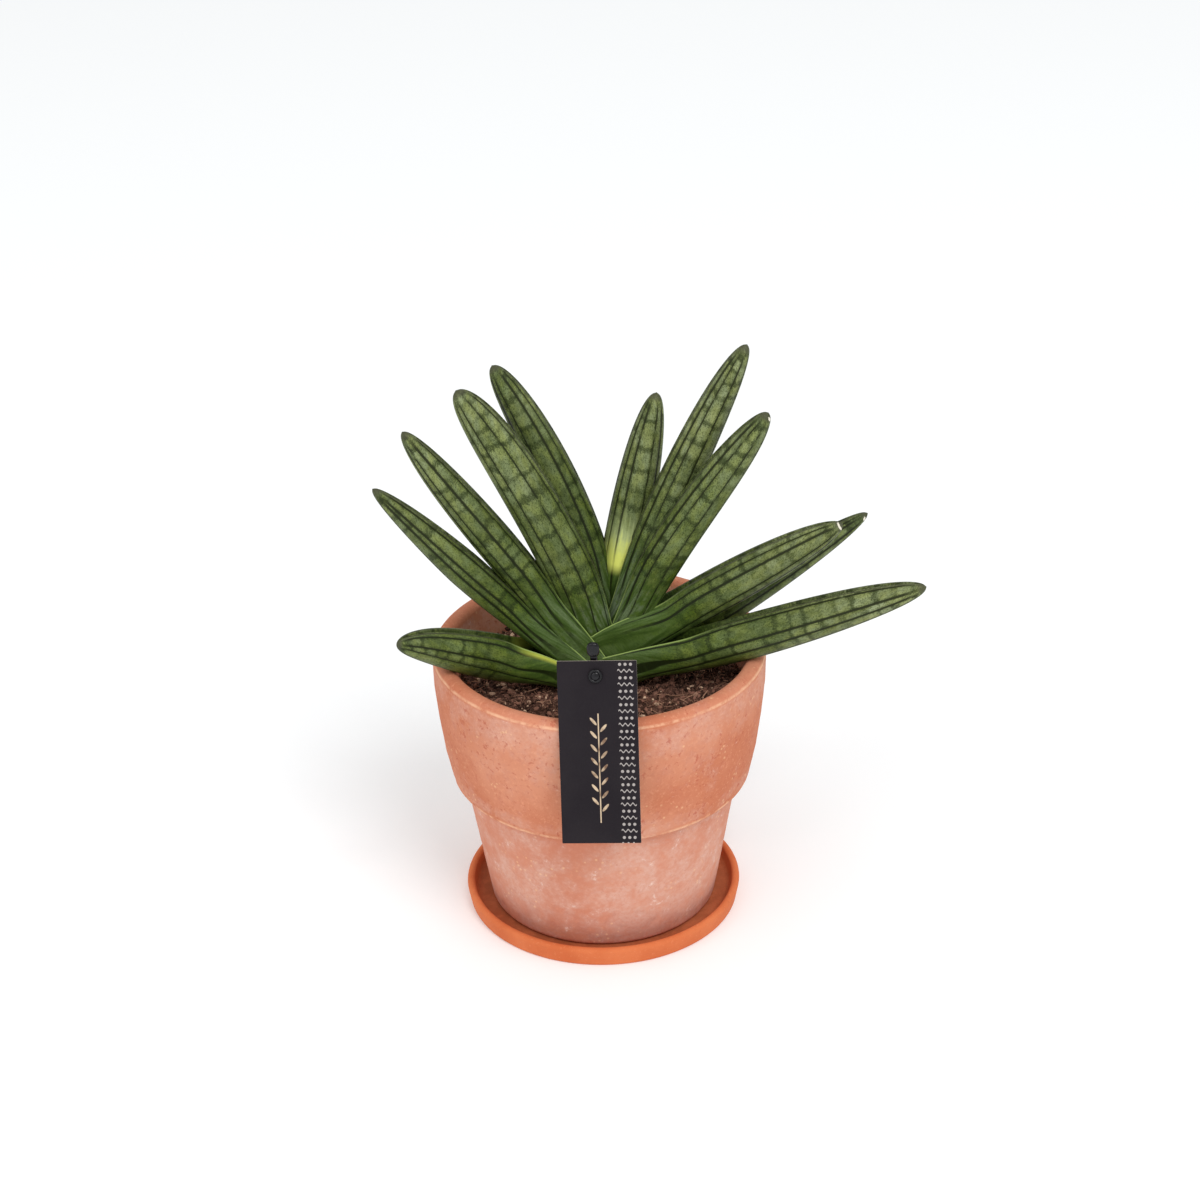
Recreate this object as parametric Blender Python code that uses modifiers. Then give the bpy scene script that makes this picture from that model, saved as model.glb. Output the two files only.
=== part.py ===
"""Cylindrical snake plant in a terracotta pot on its saucer, with a plain label card on a stake.

Metres, +Z up. The origin is the centre of the saucer's flat underside, and -Y is the front, where the label is.
Eleven leaves grow in two ranks from one crown, so that they spread like a fan across X. Each leaf is a fat
spindle with long shallow grooves. Towards its base it opens into a channel, whose thin margins clasp the
leaves that are younger than it.
"""

import math
from dataclasses import dataclass

import bmesh
import bpy
from mathutils import Vector

GAP = 0.0003

# Saucer, measured from its flat underside
SAUCER_RIM_RADIUS = 0.0723
SAUCER_FOOT_RADIUS = 0.0700
SAUCER_HEIGHT = 0.0105
SAUCER_WALL = 0.0041
SAUCER_FLOOR = 0.0040

# Pot: a tapered body under a tall, slightly bulging collar
POT_HEIGHT = 0.1500
POT_FOOT_Z = SAUCER_FLOOR + GAP
POT_FLOOR = 0.0100
COLLAR_BOTTOM_Z = 0.0785
RIM_OUTER_RADIUS = 0.0850
RIM_INNER_RADIUS = 0.0759
COLLAR_FOOT_RADIUS = 0.0764
BODY_TOP_RADIUS = 0.0713
BODY_FOOT_RADIUS = 0.0596
INNER_TAPER = 0.178
DRAIN_RADIUS = 0.0070
RIM_LIP = 0.0042

# Soil
SOIL_Z = 0.1300
SOIL_LUMP = 0.0011
SOIL_DIP_RADIUS = 0.045
POCKET_CENTRE_X = -0.0010
POCKET_FLOOR_Z = 0.1195
POCKET_HALF_X = 0.0255
POCKET_HALF_Y = 0.0195

# Label card and its stake
CARD_WIDTH = 0.0382
CARD_HEIGHT = 0.0904
CARD_THICKNESS = 0.0008
CARD_LEAN = math.radians(16)
CARD_TURN = math.radians(-4.7)
CARD_ROLL = math.radians(1.9)
CARD_CENTRE_X = -0.0022
CARD_TOP_Z = 0.1812
CARD_HOLE_RADIUS = 0.0026
CARD_HOLE_DROP = 0.0072
CARD_HOLE_X = -0.0007
STAKE_WIDTH = 0.0054
STAKE_THICKNESS = 0.0020
STAKE_TOP_Z = 0.1905
STAKE_FOOT_Z = 0.1100
STAKE_POINT = 0.0080
STAKE_SETBACK = 0.0046
STAKE_LEAN = math.radians(6)
STAKE_PIN_RADIUS = 0.0021
STAKE_HEAD_RADIUS = 0.0031
STAKE_HEAD_THICKNESS = 0.0014


@dataclass
class Leaf:
    """One leaf: its centre line's four points, its thickness across the fan, and its shape at the crown."""

    base: tuple
    low: tuple
    high: tuple
    tip: tuple
    thickness: float
    widest: float
    bluntness: float
    base_share: float
    crown_width: float
    keel_drop: float
    arm_rise: float


# Youngest first, because each base clasps the ones before it
LEAVES = {
    "leaf_01": Leaf((0.0010, 0.002, 0.1240), (0.0102, 0.012, 0.1760), (0.0203, 0.018, 0.2284),
                    (0.0306, 0.022, 0.2767), 0.0227, 0.46, 2.1, 0.55, 0.0070, 0.000, 0.0000),
    "leaf_02": Leaf((-0.0016, 0.003, 0.1240), (-0.0018, 0.011, 0.1807), (-0.0242, 0.017, 0.2445),
                    (-0.0497, 0.021, 0.2931), 0.0215, 0.46, 2.3, 0.54, 0.0095, 0.002, 0.0000),
    "leaf_03": Leaf((0.0011, 0.001, 0.1240), (0.0205, 0.004, 0.1857), (0.0473, 0.005, 0.2519),
                    (0.0737, 0.005, 0.3082), 0.0210, 0.40, 2.35, 0.55, 0.0120, 0.002, 0.0000),
    "leaf_04": Leaf((0.0039, -0.001, 0.1240), (0.0240, -0.003, 0.1825), (0.0538, -0.010, 0.2365),
                    (0.0828, -0.017, 0.2820), 0.0215, 0.47, 2.35, 0.53, 0.0145, 0.004, 0.0000),
    "leaf_05": Leaf((-0.0021, 0.000, 0.1240), (-0.0074, -0.002, 0.1738), (-0.0356, -0.003, 0.2392),
                    (-0.0665, -0.003, 0.2905), 0.0260, 0.45, 2.6, 0.53, 0.0170, 0.004, 0.0000),
    "leaf_06": Leaf((0.0085, 0.004, 0.1314), (0.0506, 0.014, 0.1534), (0.0938, 0.021, 0.1790),
                    (0.1370, 0.027, 0.2062), 0.0206, 0.45, 1.3, 0.45, 0.0175, 0.000, 0.0000),
    "leaf_07": Leaf((0.0010, -0.0015, 0.1425), (0.0434, -0.003, 0.1698), (0.0828, -0.006, 0.1950),
                    (0.1205, -0.010, 0.2187), 0.0226, 0.42, 2.1, 0.95, 0.0215, 0.004, 0.0085),
    "leaf_08": Leaf((0.0045, -0.004, 0.1385), (0.0558, -0.015, 0.1542), (0.1082, -0.025, 0.1751),
                    (0.1597, -0.035, 0.1960), 0.0232, 0.45, 2.0, 0.51, 0.0240, 0.007, 0.0065),
    "leaf_09": Leaf((0.0041, -0.002, 0.1270), (-0.0303, -0.005, 0.1812), (-0.0629, -0.008, 0.2288),
                    (-0.0929, -0.010, 0.2724), 0.0197, 0.52, 1.85, 0.68, 0.0276, 0.005, 0.0050),
    "leaf_10": Leaf((-0.0010, -0.003, 0.1330), (-0.0418, -0.008, 0.1721), (-0.0731, -0.013, 0.2070),
                    (-0.1082, -0.017, 0.2457), 0.0184, 0.58, 1.4, 0.57, 0.0290, 0.006, 0.0030),
    "leaf_11": Leaf((-0.0110, -0.005, 0.1382), (-0.0492, -0.017, 0.1508), (-0.0770, -0.030, 0.1647),
                    (-0.0987, -0.043, 0.1738), 0.0248, 0.39, 1.55, 0.34, 0.0300, 0.006, 0.0030),
}
LEAF_STATIONS = 15
ROOM_SIDES = 14
ROOM_GROWTH = 0.0008
LEAF_GROOVES = 9
GROOVE_SHIFT = 0.045
GROOVE_DEPTH = 0.00035
GROOVE_HALF_ANGLE = math.radians(7)
CHANNEL_POINTS = 3
CHANNEL_END = 0.45
MARGIN_WALL = 0.0009
KEEL_SHARE = 0.45
KEEL_DROP_END = 0.16
ARM_RISE_END = 0.34
TIP_POINT = 0.0012
TIP_ROUNDING = 0.48
ROUNDNESS = 0.94
WIDEST_HALF = 0.0108


def clear_scene():
    for obj in list(bpy.data.objects):
        bpy.data.objects.remove(obj, do_unlink=True)


def collection(name):
    made = bpy.data.collections.new(name)
    bpy.context.scene.collection.children.link(made)
    return made


def material(name, colour, roughness, metallic=0.0):
    made = bpy.data.materials.new(name)
    made.use_nodes = True
    shader = made.node_tree.nodes["Principled BSDF"]
    shader.inputs["Base Color"].default_value = (*colour, 1.0)
    shader.inputs["Roughness"].default_value = roughness
    shader.inputs["Metallic"].default_value = metallic
    return made


def smooth(mesh, angle=40):
    mesh.shade_smooth()
    mesh.set_sharp_from_angle(angle=math.radians(angle))


def object_from(bm, name, home, look=None):
    mesh = bpy.data.meshes.new(name)
    bm.to_mesh(mesh)
    bm.free()
    made = bpy.data.objects.new(name, mesh)
    home.objects.link(made)
    if look is not None:
        mesh.materials.append(look)
    return made


def hide_as_cutter(obj):
    obj.hide_render = True
    obj.display_type = "WIRE"


def cut(target, cutter, solver="EXACT"):
    boolean = target.modifiers.new(f"cut by {cutter.name}", "BOOLEAN")
    boolean.operation = "DIFFERENCE"
    boolean.object = cutter
    boolean.solver = solver


def turned(name, profile, steps, home, look):
    """A closed solid turned about Z from a profile of (radius, height), whose ends lie on the axis or meet."""
    bm = bmesh.new()
    points = [bm.verts.new((radius, 0.0, height)) for radius, height in profile]
    for first, second in zip(points, points[1:]):
        bm.edges.new((first, second))
    if profile[0][0] > 0.0:
        bm.edges.new((points[-1], points[0]))
    made = object_from(bm, name, home, look)
    screw = made.modifiers.new("turn", "SCREW")
    screw.steps = steps
    screw.render_steps = steps
    screw.use_merge_vertices = True
    screw.merge_threshold = 0.00001
    screw.use_smooth_shade = True
    return made


def arc(centre, radius, start, end, count):
    """Points on an arc in the profile's plane, from start to end degrees."""
    points = []
    for i in range(count):
        angle = math.radians(start + (end - start) * i / (count - 1))
        points.append((centre[0] + radius * math.cos(angle), centre[1] + radius * math.sin(angle)))
    return points


def make_saucer(home):
    lip = SAUCER_WALL / 2
    inner_radius = SAUCER_RIM_RADIUS - SAUCER_WALL
    corner = 0.0015
    profile = [(0.0, SAUCER_FLOOR), (inner_radius - 0.0035, SAUCER_FLOOR)]
    profile += [(inner_radius - 0.0010, SAUCER_FLOOR + 0.0012)]
    profile += arc((SAUCER_RIM_RADIUS - lip, SAUCER_HEIGHT - lip), lip, 180, 0, 5)
    profile += arc((SAUCER_FOOT_RADIUS - corner + 0.0010, corner), corner, 0, -90, 3)
    profile += [(0.0, 0.0)]
    return turned("saucer", profile, 48, home, material("saucer clay", (0.66, 0.24, 0.11), 0.8))


def inner_radius_at(z):
    return RIM_INNER_RADIUS - INNER_TAPER * (POT_HEIGHT - z)


def make_pot(home):
    floor_z = POT_FOOT_Z + POT_FLOOR
    lip = RIM_LIP
    bead = 0.0016
    profile = arc((RIM_INNER_RADIUS + lip, POT_HEIGHT - lip), lip, 165, 90, 3)
    profile += arc((RIM_OUTER_RADIUS - lip, POT_HEIGHT - lip), lip, 90, 5, 4)
    profile += [(0.0846, 0.1310), (0.0830, 0.1140), (0.0807, 0.0960)]
    profile += arc((COLLAR_FOOT_RADIUS - bead + 0.0010, COLLAR_BOTTOM_Z + bead), bead, 0, -90, 3)
    profile += [(BODY_TOP_RADIUS + 0.0004, COLLAR_BOTTOM_Z), (BODY_TOP_RADIUS, COLLAR_BOTTOM_Z - 0.0012)]
    profile += arc((BODY_FOOT_RADIUS - 0.0030, POT_FOOT_Z + 0.0030), 0.0030, -10, -90, 3)
    profile += [(DRAIN_RADIUS, POT_FOOT_Z), (DRAIN_RADIUS, floor_z)]
    profile += [(inner_radius_at(floor_z) - 0.006, floor_z), (inner_radius_at(floor_z + 0.006), floor_z + 0.006)]
    return turned("pot", profile, 48, home, material("terracotta", (0.64, 0.29, 0.17), 0.85))


def soil_height(x, y):
    """Gentle lumps, a formula in place of loose crumbs."""
    wave = math.sin(170 * x + 1.3) * math.cos(140 * y - 0.4) + 0.6 * math.sin(260 * (x + y) + 0.7)
    away = ease(math.hypot(x, y) / SOIL_DIP_RADIUS)
    return SOIL_Z + SOIL_LUMP * wave * away


def make_soil(home):
    floor_z = POT_FOOT_Z + POT_FLOOR + GAP
    rings = 9
    sides = 40
    bm = bmesh.new()
    top = bm.verts.new((0.0, 0.0, soil_height(0.0, 0.0)))
    rows = []
    edge_radius = inner_radius_at(SOIL_Z - 0.003) - GAP
    for ring in range(1, rings + 1):
        radius = edge_radius * ring / rings
        row = []
        for side in range(sides):
            angle = 2 * math.pi * side / sides
            x = radius * math.cos(angle)
            y = radius * math.sin(angle)
            row.append(bm.verts.new((x, y, soil_height(x, y) if ring < rings else SOIL_Z - 0.003)))
        rows.append(row)
    for radius, z in ((inner_radius_at(floor_z + 0.006) - GAP, floor_z + 0.006),
                      (inner_radius_at(floor_z) - 0.006 - 2 * GAP, floor_z)):
        rows.append([bm.verts.new((radius * math.cos(2 * math.pi * side / sides),
                                   radius * math.sin(2 * math.pi * side / sides), z)) for side in range(sides)])
    for side in range(sides):
        following = (side + 1) % sides
        bm.faces.new((top, rows[0][side], rows[0][following]))
        for inner, outer in zip(rows, rows[1:]):
            bm.faces.new((inner[side], outer[side], outer[following], inner[following]))
    bm.faces.new(list(reversed(rows[-1])))
    bmesh.ops.recalc_face_normals(bm, faces=bm.faces)
    made = object_from(bm, "soil", home, material("potting soil", (0.055, 0.032, 0.022), 0.95))
    smooth(made.data, 60)
    return made


def make_pocket(cutters):
    """The plain hole in the soil that the crown stands in."""
    bm = bmesh.new()
    bmesh.ops.create_cone(bm, cap_ends=True, segments=28, radius1=1.0, radius2=1.0, depth=0.03)
    bmesh.ops.scale(bm, vec=(POCKET_HALF_X, POCKET_HALF_Y, 1.0), verts=bm.verts)
    bmesh.ops.translate(bm, vec=(POCKET_CENTRE_X, 0.0, POCKET_FLOOR_Z + 0.015), verts=bm.verts)
    pocket = object_from(bm, "crown pocket", cutters)
    hide_as_cutter(pocket)
    return pocket


def ease(value):
    value = min(max(value, 0.0), 1.0)
    return value * value * (3 - 2 * value)


def mix(first, second, share):
    return first + (second - first) * share


def centre_line(leaf):
    """A smooth curve through the leaf's four points, as a function of the share of its length."""
    points = [Vector(p) for p in (leaf.base, leaf.low, leaf.high, leaf.tip)]
    places = (0.0, 1 / 3, 2 / 3, 1.0)

    def at(share):
        found = Vector()
        for i, point in enumerate(points):
            weight = 1.0
            for j, place in enumerate(places):
                if j != i:
                    weight *= (share - place) / (places[i] - place)
            found += point * weight
        return found

    return at


def half_thickness(leaf, share):
    """Half the thickness across the fan: full at the widest place, rounded off to a blunt tip."""
    half = leaf.thickness / 2
    if share < leaf.widest:
        return half * mix(leaf.base_share, 1.0, math.sin(math.pi / 2 * share / leaf.widest))
    rest = (share - leaf.widest) / (1 - leaf.widest)
    return half * max(1 - rest ** leaf.bluntness, 0.0) ** TIP_ROUNDING


def half_width(leaf, share):
    """Half the width across the line of sight: clasping at the crown, then nearly round."""
    free = ROUNDNESS * half_thickness(leaf, share) * min(1.0, WIDEST_HALF / (leaf.thickness / 2))
    return mix(leaf.crown_width / 2, free, ease((share - 0.06) / 0.34))


def keel_reach(leaf, share):
    """How far the keel side reaches from the centre line: a little more at the crown."""
    return half_thickness(leaf, share) + leaf.keel_drop * (1 - ease(share / KEEL_DROP_END))


def arm_reach(leaf, share):
    """How far the two margins reach on the inward side: further at the crown, where they clasp younger leaves."""
    return half_thickness(leaf, share) + leaf.arm_rise * (1 - ease(share / ARM_RISE_END))


def groove_places(leaf):
    """The places of the long grooves from margin to margin, as -1 to 1, unevenly spaced and unlike on each leaf."""
    even = [2 * (i + 0.5) / LEAF_GROOVES - 1 for i in range(LEAF_GROOVES)]
    return [place + GROOVE_SHIFT * math.sin(700 * leaf.tip[0] + 2.4 * i) for i, place in enumerate(even)]


def rim_point(leaf, share, angle, grow):
    """A point on the leaf's outer form, as (across, inward). Angle 0 is the keel. The upper half is squarer at the crown."""
    square = mix(7.0, 2.0, ease(share / 0.30))
    power = 2 / square if abs(angle) > math.pi / 2 else 1.0
    rise = math.cos(angle)
    reach = keel_reach(leaf, share) if rise > 0 else arm_reach(leaf, share)
    across = (half_width(leaf, share) + grow) * math.copysign(abs(math.sin(angle)) ** power, angle)
    return across, -(reach + grow) * math.copysign(abs(rise) ** power, rise)


def room_section(leaf, share):
    share = max(share, 0.0)
    angles = [2 * math.pi * i / ROOM_SIDES - math.pi for i in range(ROOM_SIDES)]
    return [rim_point(leaf, share, angle, ROOM_GROWTH) for angle in angles]


def leaf_section(leaf, share):
    """The closed outline of the leaf at this share of its length, as (across, inward) pairs from margin to margin."""
    closing = ease(share / CHANNEL_END)
    opening = mix(0.94, 0.22, closing)
    square = mix(7.0, 2.0, ease(share / 0.30))
    end = math.pi - math.asin(opening ** (square / 2))
    groove = GROOVE_DEPTH * ease((share - 0.08) / 0.15) * (1 - ease((share - 0.90) / 0.08))
    outline = [rim_point(leaf, share, -end, 0.0)]
    for place in groove_places(leaf):
        middle = end * place
        outline.append(rim_point(leaf, share, middle - GROOVE_HALF_ANGLE, 0.0))
        outline.append(rim_point(leaf, share, middle, -groove))
        outline.append(rim_point(leaf, share, middle + GROOVE_HALF_ANGLE, 0.0))
    outline.append(rim_point(leaf, share, end, 0.0))

    edge_across, edge_in = outline[-1]
    inner_half = half_width(leaf, share) - MARGIN_WALL
    lip = min(MARGIN_WALL, 0.5 * edge_across)
    bottom = (1 - KEEL_SHARE) * half_thickness(leaf, share)
    depth = mix(1.5, 0.14, closing) * half_thickness(leaf, share)
    blend = ease((share - 0.05) / (CHANNEL_END - 0.10))
    for i in range(CHANNEL_POINTS):
        place = 1 - 2 * (i + 1) / (CHANNEL_POINTS + 1)
        if abs(place) >= 0.5:
            rise = (abs(place) - 0.5) * 2
            deep = (math.copysign(mix(inner_half, edge_across - lip, rise), place), mix(0.0, edge_in, rise))
        else:
            turn = place * math.pi
            deep = (inner_half * math.sin(turn), -bottom * math.cos(turn))
        shallow = ((edge_across - lip) * place, edge_in - depth * math.cos(place * math.pi / 2))
        outline.append((mix(deep[0], shallow[0], blend), mix(deep[1], shallow[1], blend)))
    return outline


def leaf_frame(at, share):
    """Point, inward direction and across direction at this share of the length. Inward faces the fan's middle."""
    step = 0.01
    point = at(share)
    middle = min(max(share, step), 1 - step)
    along = (at(middle + step) - at(middle - step)).normalized()
    across = (Vector((0.0, 1.0, 0.0)) - along * along.y).normalized()
    side = -1.0 if at(1.0).x > at(0.0).x else 1.0
    return point, across.cross(along) * side, across


def loft(leaf, shares, outline, lengthen=0.0):
    """A closed body through unlike sections, so its faces are joined here. outline gives each section's points."""
    at = centre_line(leaf)
    bm = bmesh.new()
    rings = []
    for share in shares:
        point, inward, across = leaf_frame(at, share)
        rings.append([bm.verts.new(point + across * side + inward * rise) for side, rise in outline(share)])
    count = len(rings[0])
    for lower, upper in zip(rings, rings[1:]):
        for i in range(count):
            following = (i + 1) % count
            bm.faces.new((lower[i], lower[following], upper[following], upper[i]))
    bm.faces.new(list(reversed(rings[0])))
    tip = bm.verts.new(at(1.0) + (at(1.0) - at(0.98)).normalized() * (TIP_POINT + lengthen))
    for i in range(count):
        bm.faces.new((rings[-1][i], rings[-1][(i + 1) % count], tip))
    bmesh.ops.triangulate(bm, faces=bm.faces)
    bmesh.ops.recalc_face_normals(bm, faces=bm.faces)
    return bm


def stations(count):
    """Shares of the length, closer together towards the tip."""
    return [0.985 * (1 - (1 - i / (count - 1)) ** 1.15) for i in range(count)]


def make_leaf(name, leaf, home, look):
    made = object_from(loft(leaf, stations(LEAF_STATIONS), lambda share: leaf_section(leaf, share)), name, home, look)
    return made


def make_room(name, leaf, cutters):
    """What an older leaf's base leaves free for this leaf: its filled outer form and a little more."""
    shares = [-0.01] + stations(LEAF_STATIONS)
    room = object_from(loft(leaf, shares, lambda share: room_section(leaf, share), GAP), f"room for {name}", cutters)
    hide_as_cutter(room)
    return room


def keep_largest(obj):
    """Applies the cuts and drops the loose scraps that they leave."""
    graph = bpy.context.evaluated_depsgraph_get()
    mesh = bpy.data.meshes.new_from_object(obj.evaluated_get(graph), preserve_all_data_layers=True, depsgraph=graph)
    bm = bmesh.new()
    bm.from_mesh(mesh)
    waiting = set(bm.verts)
    bodies = []
    while waiting:
        body = {waiting.pop()}
        edge = list(body)
        while edge:
            near = {e.other_vert(v) for v in edge for e in v.link_edges} - body
            body |= near
            edge = list(near)
        waiting -= body
        bodies.append(body)
    bodies.sort(key=len)
    for scrap in bodies[:-1]:
        bmesh.ops.delete(bm, geom=list(scrap), context="VERTS")
    bm.to_mesh(mesh)
    bm.free()
    obj.modifiers.clear()
    obj.data = mesh


def make_leaves(home, cutters):
    look = material("leaf", (0.15, 0.24, 0.08), 0.5)
    younger = []
    for name, leaf in LEAVES.items():
        made = make_leaf(name, leaf, home, look)
        for room in younger:
            cut(made, room, "MANIFOLD")
        keep_largest(made)
        smooth(made.data, 35)
        younger.append(make_room(name, leaf, cutters))


def card_frame():
    """The card's place: the middle of its top edge, then its right, up and front directions."""
    right = Vector((math.cos(CARD_TURN), math.sin(CARD_TURN), 0.0))
    back = Vector((-math.sin(CARD_TURN), math.cos(CARD_TURN), 0.0))
    up = back * math.sin(CARD_LEAN) + Vector((0.0, 0.0, math.cos(CARD_LEAN)))
    front = right.cross(up)
    rim_middle = back * (RIM_LIP - RIM_OUTER_RADIUS) + Vector((0.0, 0.0, POT_HEIGHT - RIM_LIP))
    rest = rim_middle + front * (RIM_LIP + GAP + CARD_THICKNESS / 2)
    rest += right * ((CARD_CENTRE_X - rest.x) / right.x)
    top = rest + up * ((CARD_TOP_Z - rest.z) / up.z)
    rolled_right = right * math.cos(CARD_ROLL) + up * math.sin(CARD_ROLL)
    rolled_up = up * math.cos(CARD_ROLL) - right * math.sin(CARD_ROLL)
    return top, rolled_right, rolled_up, front


def slab(points, origin, right, up, front, thickness):
    """A flat piece from its outline in (right, up), centred on the plane through origin."""
    bm = bmesh.new()
    sheets = []
    for side in (0.5, -0.5):
        sheets.append([bm.verts.new(origin + right * x + up * y + front * (thickness * side)) for x, y in points])
    bm.faces.new(sheets[0])
    bm.faces.new(list(reversed(sheets[1])))
    for i in range(len(points)):
        following = (i + 1) % len(points)
        bm.faces.new((sheets[0][i], sheets[1][i], sheets[1][following], sheets[0][following]))
    bmesh.ops.recalc_face_normals(bm, faces=bm.faces)
    return bm


def rod(start, end, radius, sides):
    """A round bar between two points."""
    along = end - start
    bm = bmesh.new()
    bmesh.ops.create_cone(bm, cap_ends=True, segments=sides, radius1=radius, radius2=radius, depth=along.length)
    bmesh.ops.rotate(bm, verts=bm.verts, cent=(0, 0, 0), matrix=along.to_track_quat("Z", "Y").to_matrix())
    bmesh.ops.translate(bm, verts=bm.verts, vec=(start + end) / 2)
    return bm


def make_card(home, cutters):
    """The card hangs on the stake's pin and rests against the pot's rim."""
    top, right, up, front = card_frame()
    half = CARD_WIDTH / 2
    outline = [(-half, -CARD_HEIGHT), (half, -CARD_HEIGHT), (half, 0.0), (-half, 0.0)]
    look = material("card", (0.025, 0.022, 0.025), 0.6)
    card = object_from(slab(outline, top, right, up, front, CARD_THICKNESS), "tag", home, look)
    hole = top + right * CARD_HOLE_X - up * CARD_HOLE_DROP
    bore = object_from(rod(hole - front * 0.003, hole + front * 0.003, CARD_HOLE_RADIUS, 32), "card hole", cutters)
    hide_as_cutter(bore)
    cut(card, bore)
    return hole, front


def make_stake(home, cutters, soil, hole, front):
    """A flat pointed bar in a slot in the soil, with a headed pin through the card's hole."""
    right = Vector((math.cos(CARD_TURN), math.sin(CARD_TURN), 0.0))
    back = Vector((-math.sin(CARD_TURN), math.cos(CARD_TURN), 0.0))
    up = Vector((0.0, 0.0, math.cos(STAKE_LEAN))) - back * math.sin(STAKE_LEAN)
    forward = right.cross(up)
    middle = hole + back * STAKE_SETBACK
    top = (STAKE_TOP_Z - middle.z) / up.z
    foot = (STAKE_FOOT_Z - middle.z) / up.z
    half = STAKE_WIDTH / 2
    corner = 0.0010
    outline = [(0.0, foot), (half, foot + STAKE_POINT), (half, top - corner), (half - corner, top),
               (corner - half, top), (-half, top - corner), (-half, foot + STAKE_POINT)]
    look = material("stake plastic", (0.02, 0.02, 0.02), 0.4)
    stake = object_from(slab(outline, middle, right, up, forward, STAKE_THICKNESS), "tag_stake", home, look)

    head_back = hole + front * (CARD_THICKNESS / 2 + GAP)
    head_front = head_back + front * STAKE_HEAD_THICKNESS
    pin = object_from(rod(hole - front * STAKE_SETBACK, head_front - front * 0.0003, STAKE_PIN_RADIUS, 24),
                      "stake pin", cutters)
    head = object_from(rod(head_back, head_front, STAKE_HEAD_RADIUS, 32), "stake head", cutters)
    for piece in (pin, head):
        hide_as_cutter(piece)
        union = stake.modifiers.new(f"joined to {piece.name}", "BOOLEAN")
        union.operation = "UNION"
        union.object = piece
        union.solver = "EXACT"

    wide = half + GAP
    slot_outline = [(0.0, foot - GAP), (wide, foot + STAKE_POINT - GAP), (wide, foot + 0.04),
                    (-wide, foot + 0.04), (-wide, foot + STAKE_POINT - GAP)]
    slot = object_from(slab(slot_outline, middle, right, up, forward, STAKE_THICKNESS + 2 * GAP),
                       "stake slot", cutters)
    hide_as_cutter(slot)
    cut(soil, slot)


def main():
    clear_scene()
    home = collection("cylindrical snake plant")
    cutters = collection("cutters")
    make_saucer(home)
    make_pot(home)
    soil = make_soil(home)
    cut(soil, make_pocket(cutters))
    make_leaves(home, cutters)
    hole, front = make_card(home, cutters)
    make_stake(home, cutters, soil, hole, front)


main()
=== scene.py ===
"""Cylindrical snake plant in a terracotta pot, dressed for its portrait.

Metres, +Z up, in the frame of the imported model. -Y is the front, where the label is. The leaves, the pot,
the saucer, the soil and the label are finer copies of the solids, with the pattern of the leaves, the bloom
on the clay and the crumbs of the soil.
"""

import math
import random
from dataclasses import dataclass
from types import SimpleNamespace

import bmesh
import bpy
from mathutils import Matrix, Vector, geometry, noise


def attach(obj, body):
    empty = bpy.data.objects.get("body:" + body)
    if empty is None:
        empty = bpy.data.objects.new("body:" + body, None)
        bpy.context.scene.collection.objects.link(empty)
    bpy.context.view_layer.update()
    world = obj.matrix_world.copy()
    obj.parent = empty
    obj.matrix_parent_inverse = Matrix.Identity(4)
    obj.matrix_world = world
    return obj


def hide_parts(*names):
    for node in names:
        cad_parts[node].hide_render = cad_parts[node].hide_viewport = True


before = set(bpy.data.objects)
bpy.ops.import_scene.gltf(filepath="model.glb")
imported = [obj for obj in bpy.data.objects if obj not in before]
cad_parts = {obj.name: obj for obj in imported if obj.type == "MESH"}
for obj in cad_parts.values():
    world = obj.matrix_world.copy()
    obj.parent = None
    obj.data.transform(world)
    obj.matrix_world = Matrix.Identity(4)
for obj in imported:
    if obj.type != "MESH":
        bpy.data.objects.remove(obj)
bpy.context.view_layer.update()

BODY = "root"
MM = 1000

# Camera, as found from the photograph: its place, the picture's right and up directions, and its lens
CAMERA_PLACE = (0.00017, -1.15375, 0.78407)
CAMERA_PITCH = 0.4866
CAMERA_ROLL = -0.0185
CAMERA_YAW = 0.0006
LENS_MM = 77.83
SENSOR_MM = 36.0

# Pot and saucer, as in the solids
POT_HEIGHT = 0.1500
POT_FOOT_Z = 0.0043
COLLAR_BOTTOM_Z = 0.0785
RIM_OUTER_RADIUS = 0.0850
RIM_INNER_RADIUS = 0.0759
RIM_LIP = 0.0042
COLLAR_FOOT_RADIUS = 0.0764
BODY_TOP_RADIUS = 0.0713
BODY_FOOT_RADIUS = 0.0596
INNER_TAPER = 0.178
DRAIN_RADIUS = 0.0070
POT_FLOOR = 0.0100
SAUCER_RIM_RADIUS = 0.0723
SAUCER_FOOT_RADIUS = 0.0700
SAUCER_HEIGHT = 0.0105
SAUCER_WALL = 0.0041
SAUCER_FLOOR = 0.0040
TURN_STEPS = 224

# Soil: its surface droops where it meets the pot, and crumbs and fibres keep a margin from the edge
SOIL_Z = 0.1300
SOIL_EDGE_RADIUS = 0.0722
SOIL_RINGS = 104
SOIL_SIDES = 220
SOIL_DROOP = 0.0025
SOIL_DROOP_WIDTH = 0.0035
SOIL_SIDE_GAP = 0.0006
POT_BEND = 0.006
CRUMBS = 4300
CRUMB_MARGIN = 0.0016
SMALLEST_CRUMB = 0.00045
CRUMB_GROWTH = 0.0013
FIBRES = 1900
FIBRE_MARGIN = 0.006
FIBRE_LENGTHS = (0.002, 0.008)
FIBRE_RADII = (0.00014, 0.00032)

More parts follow.
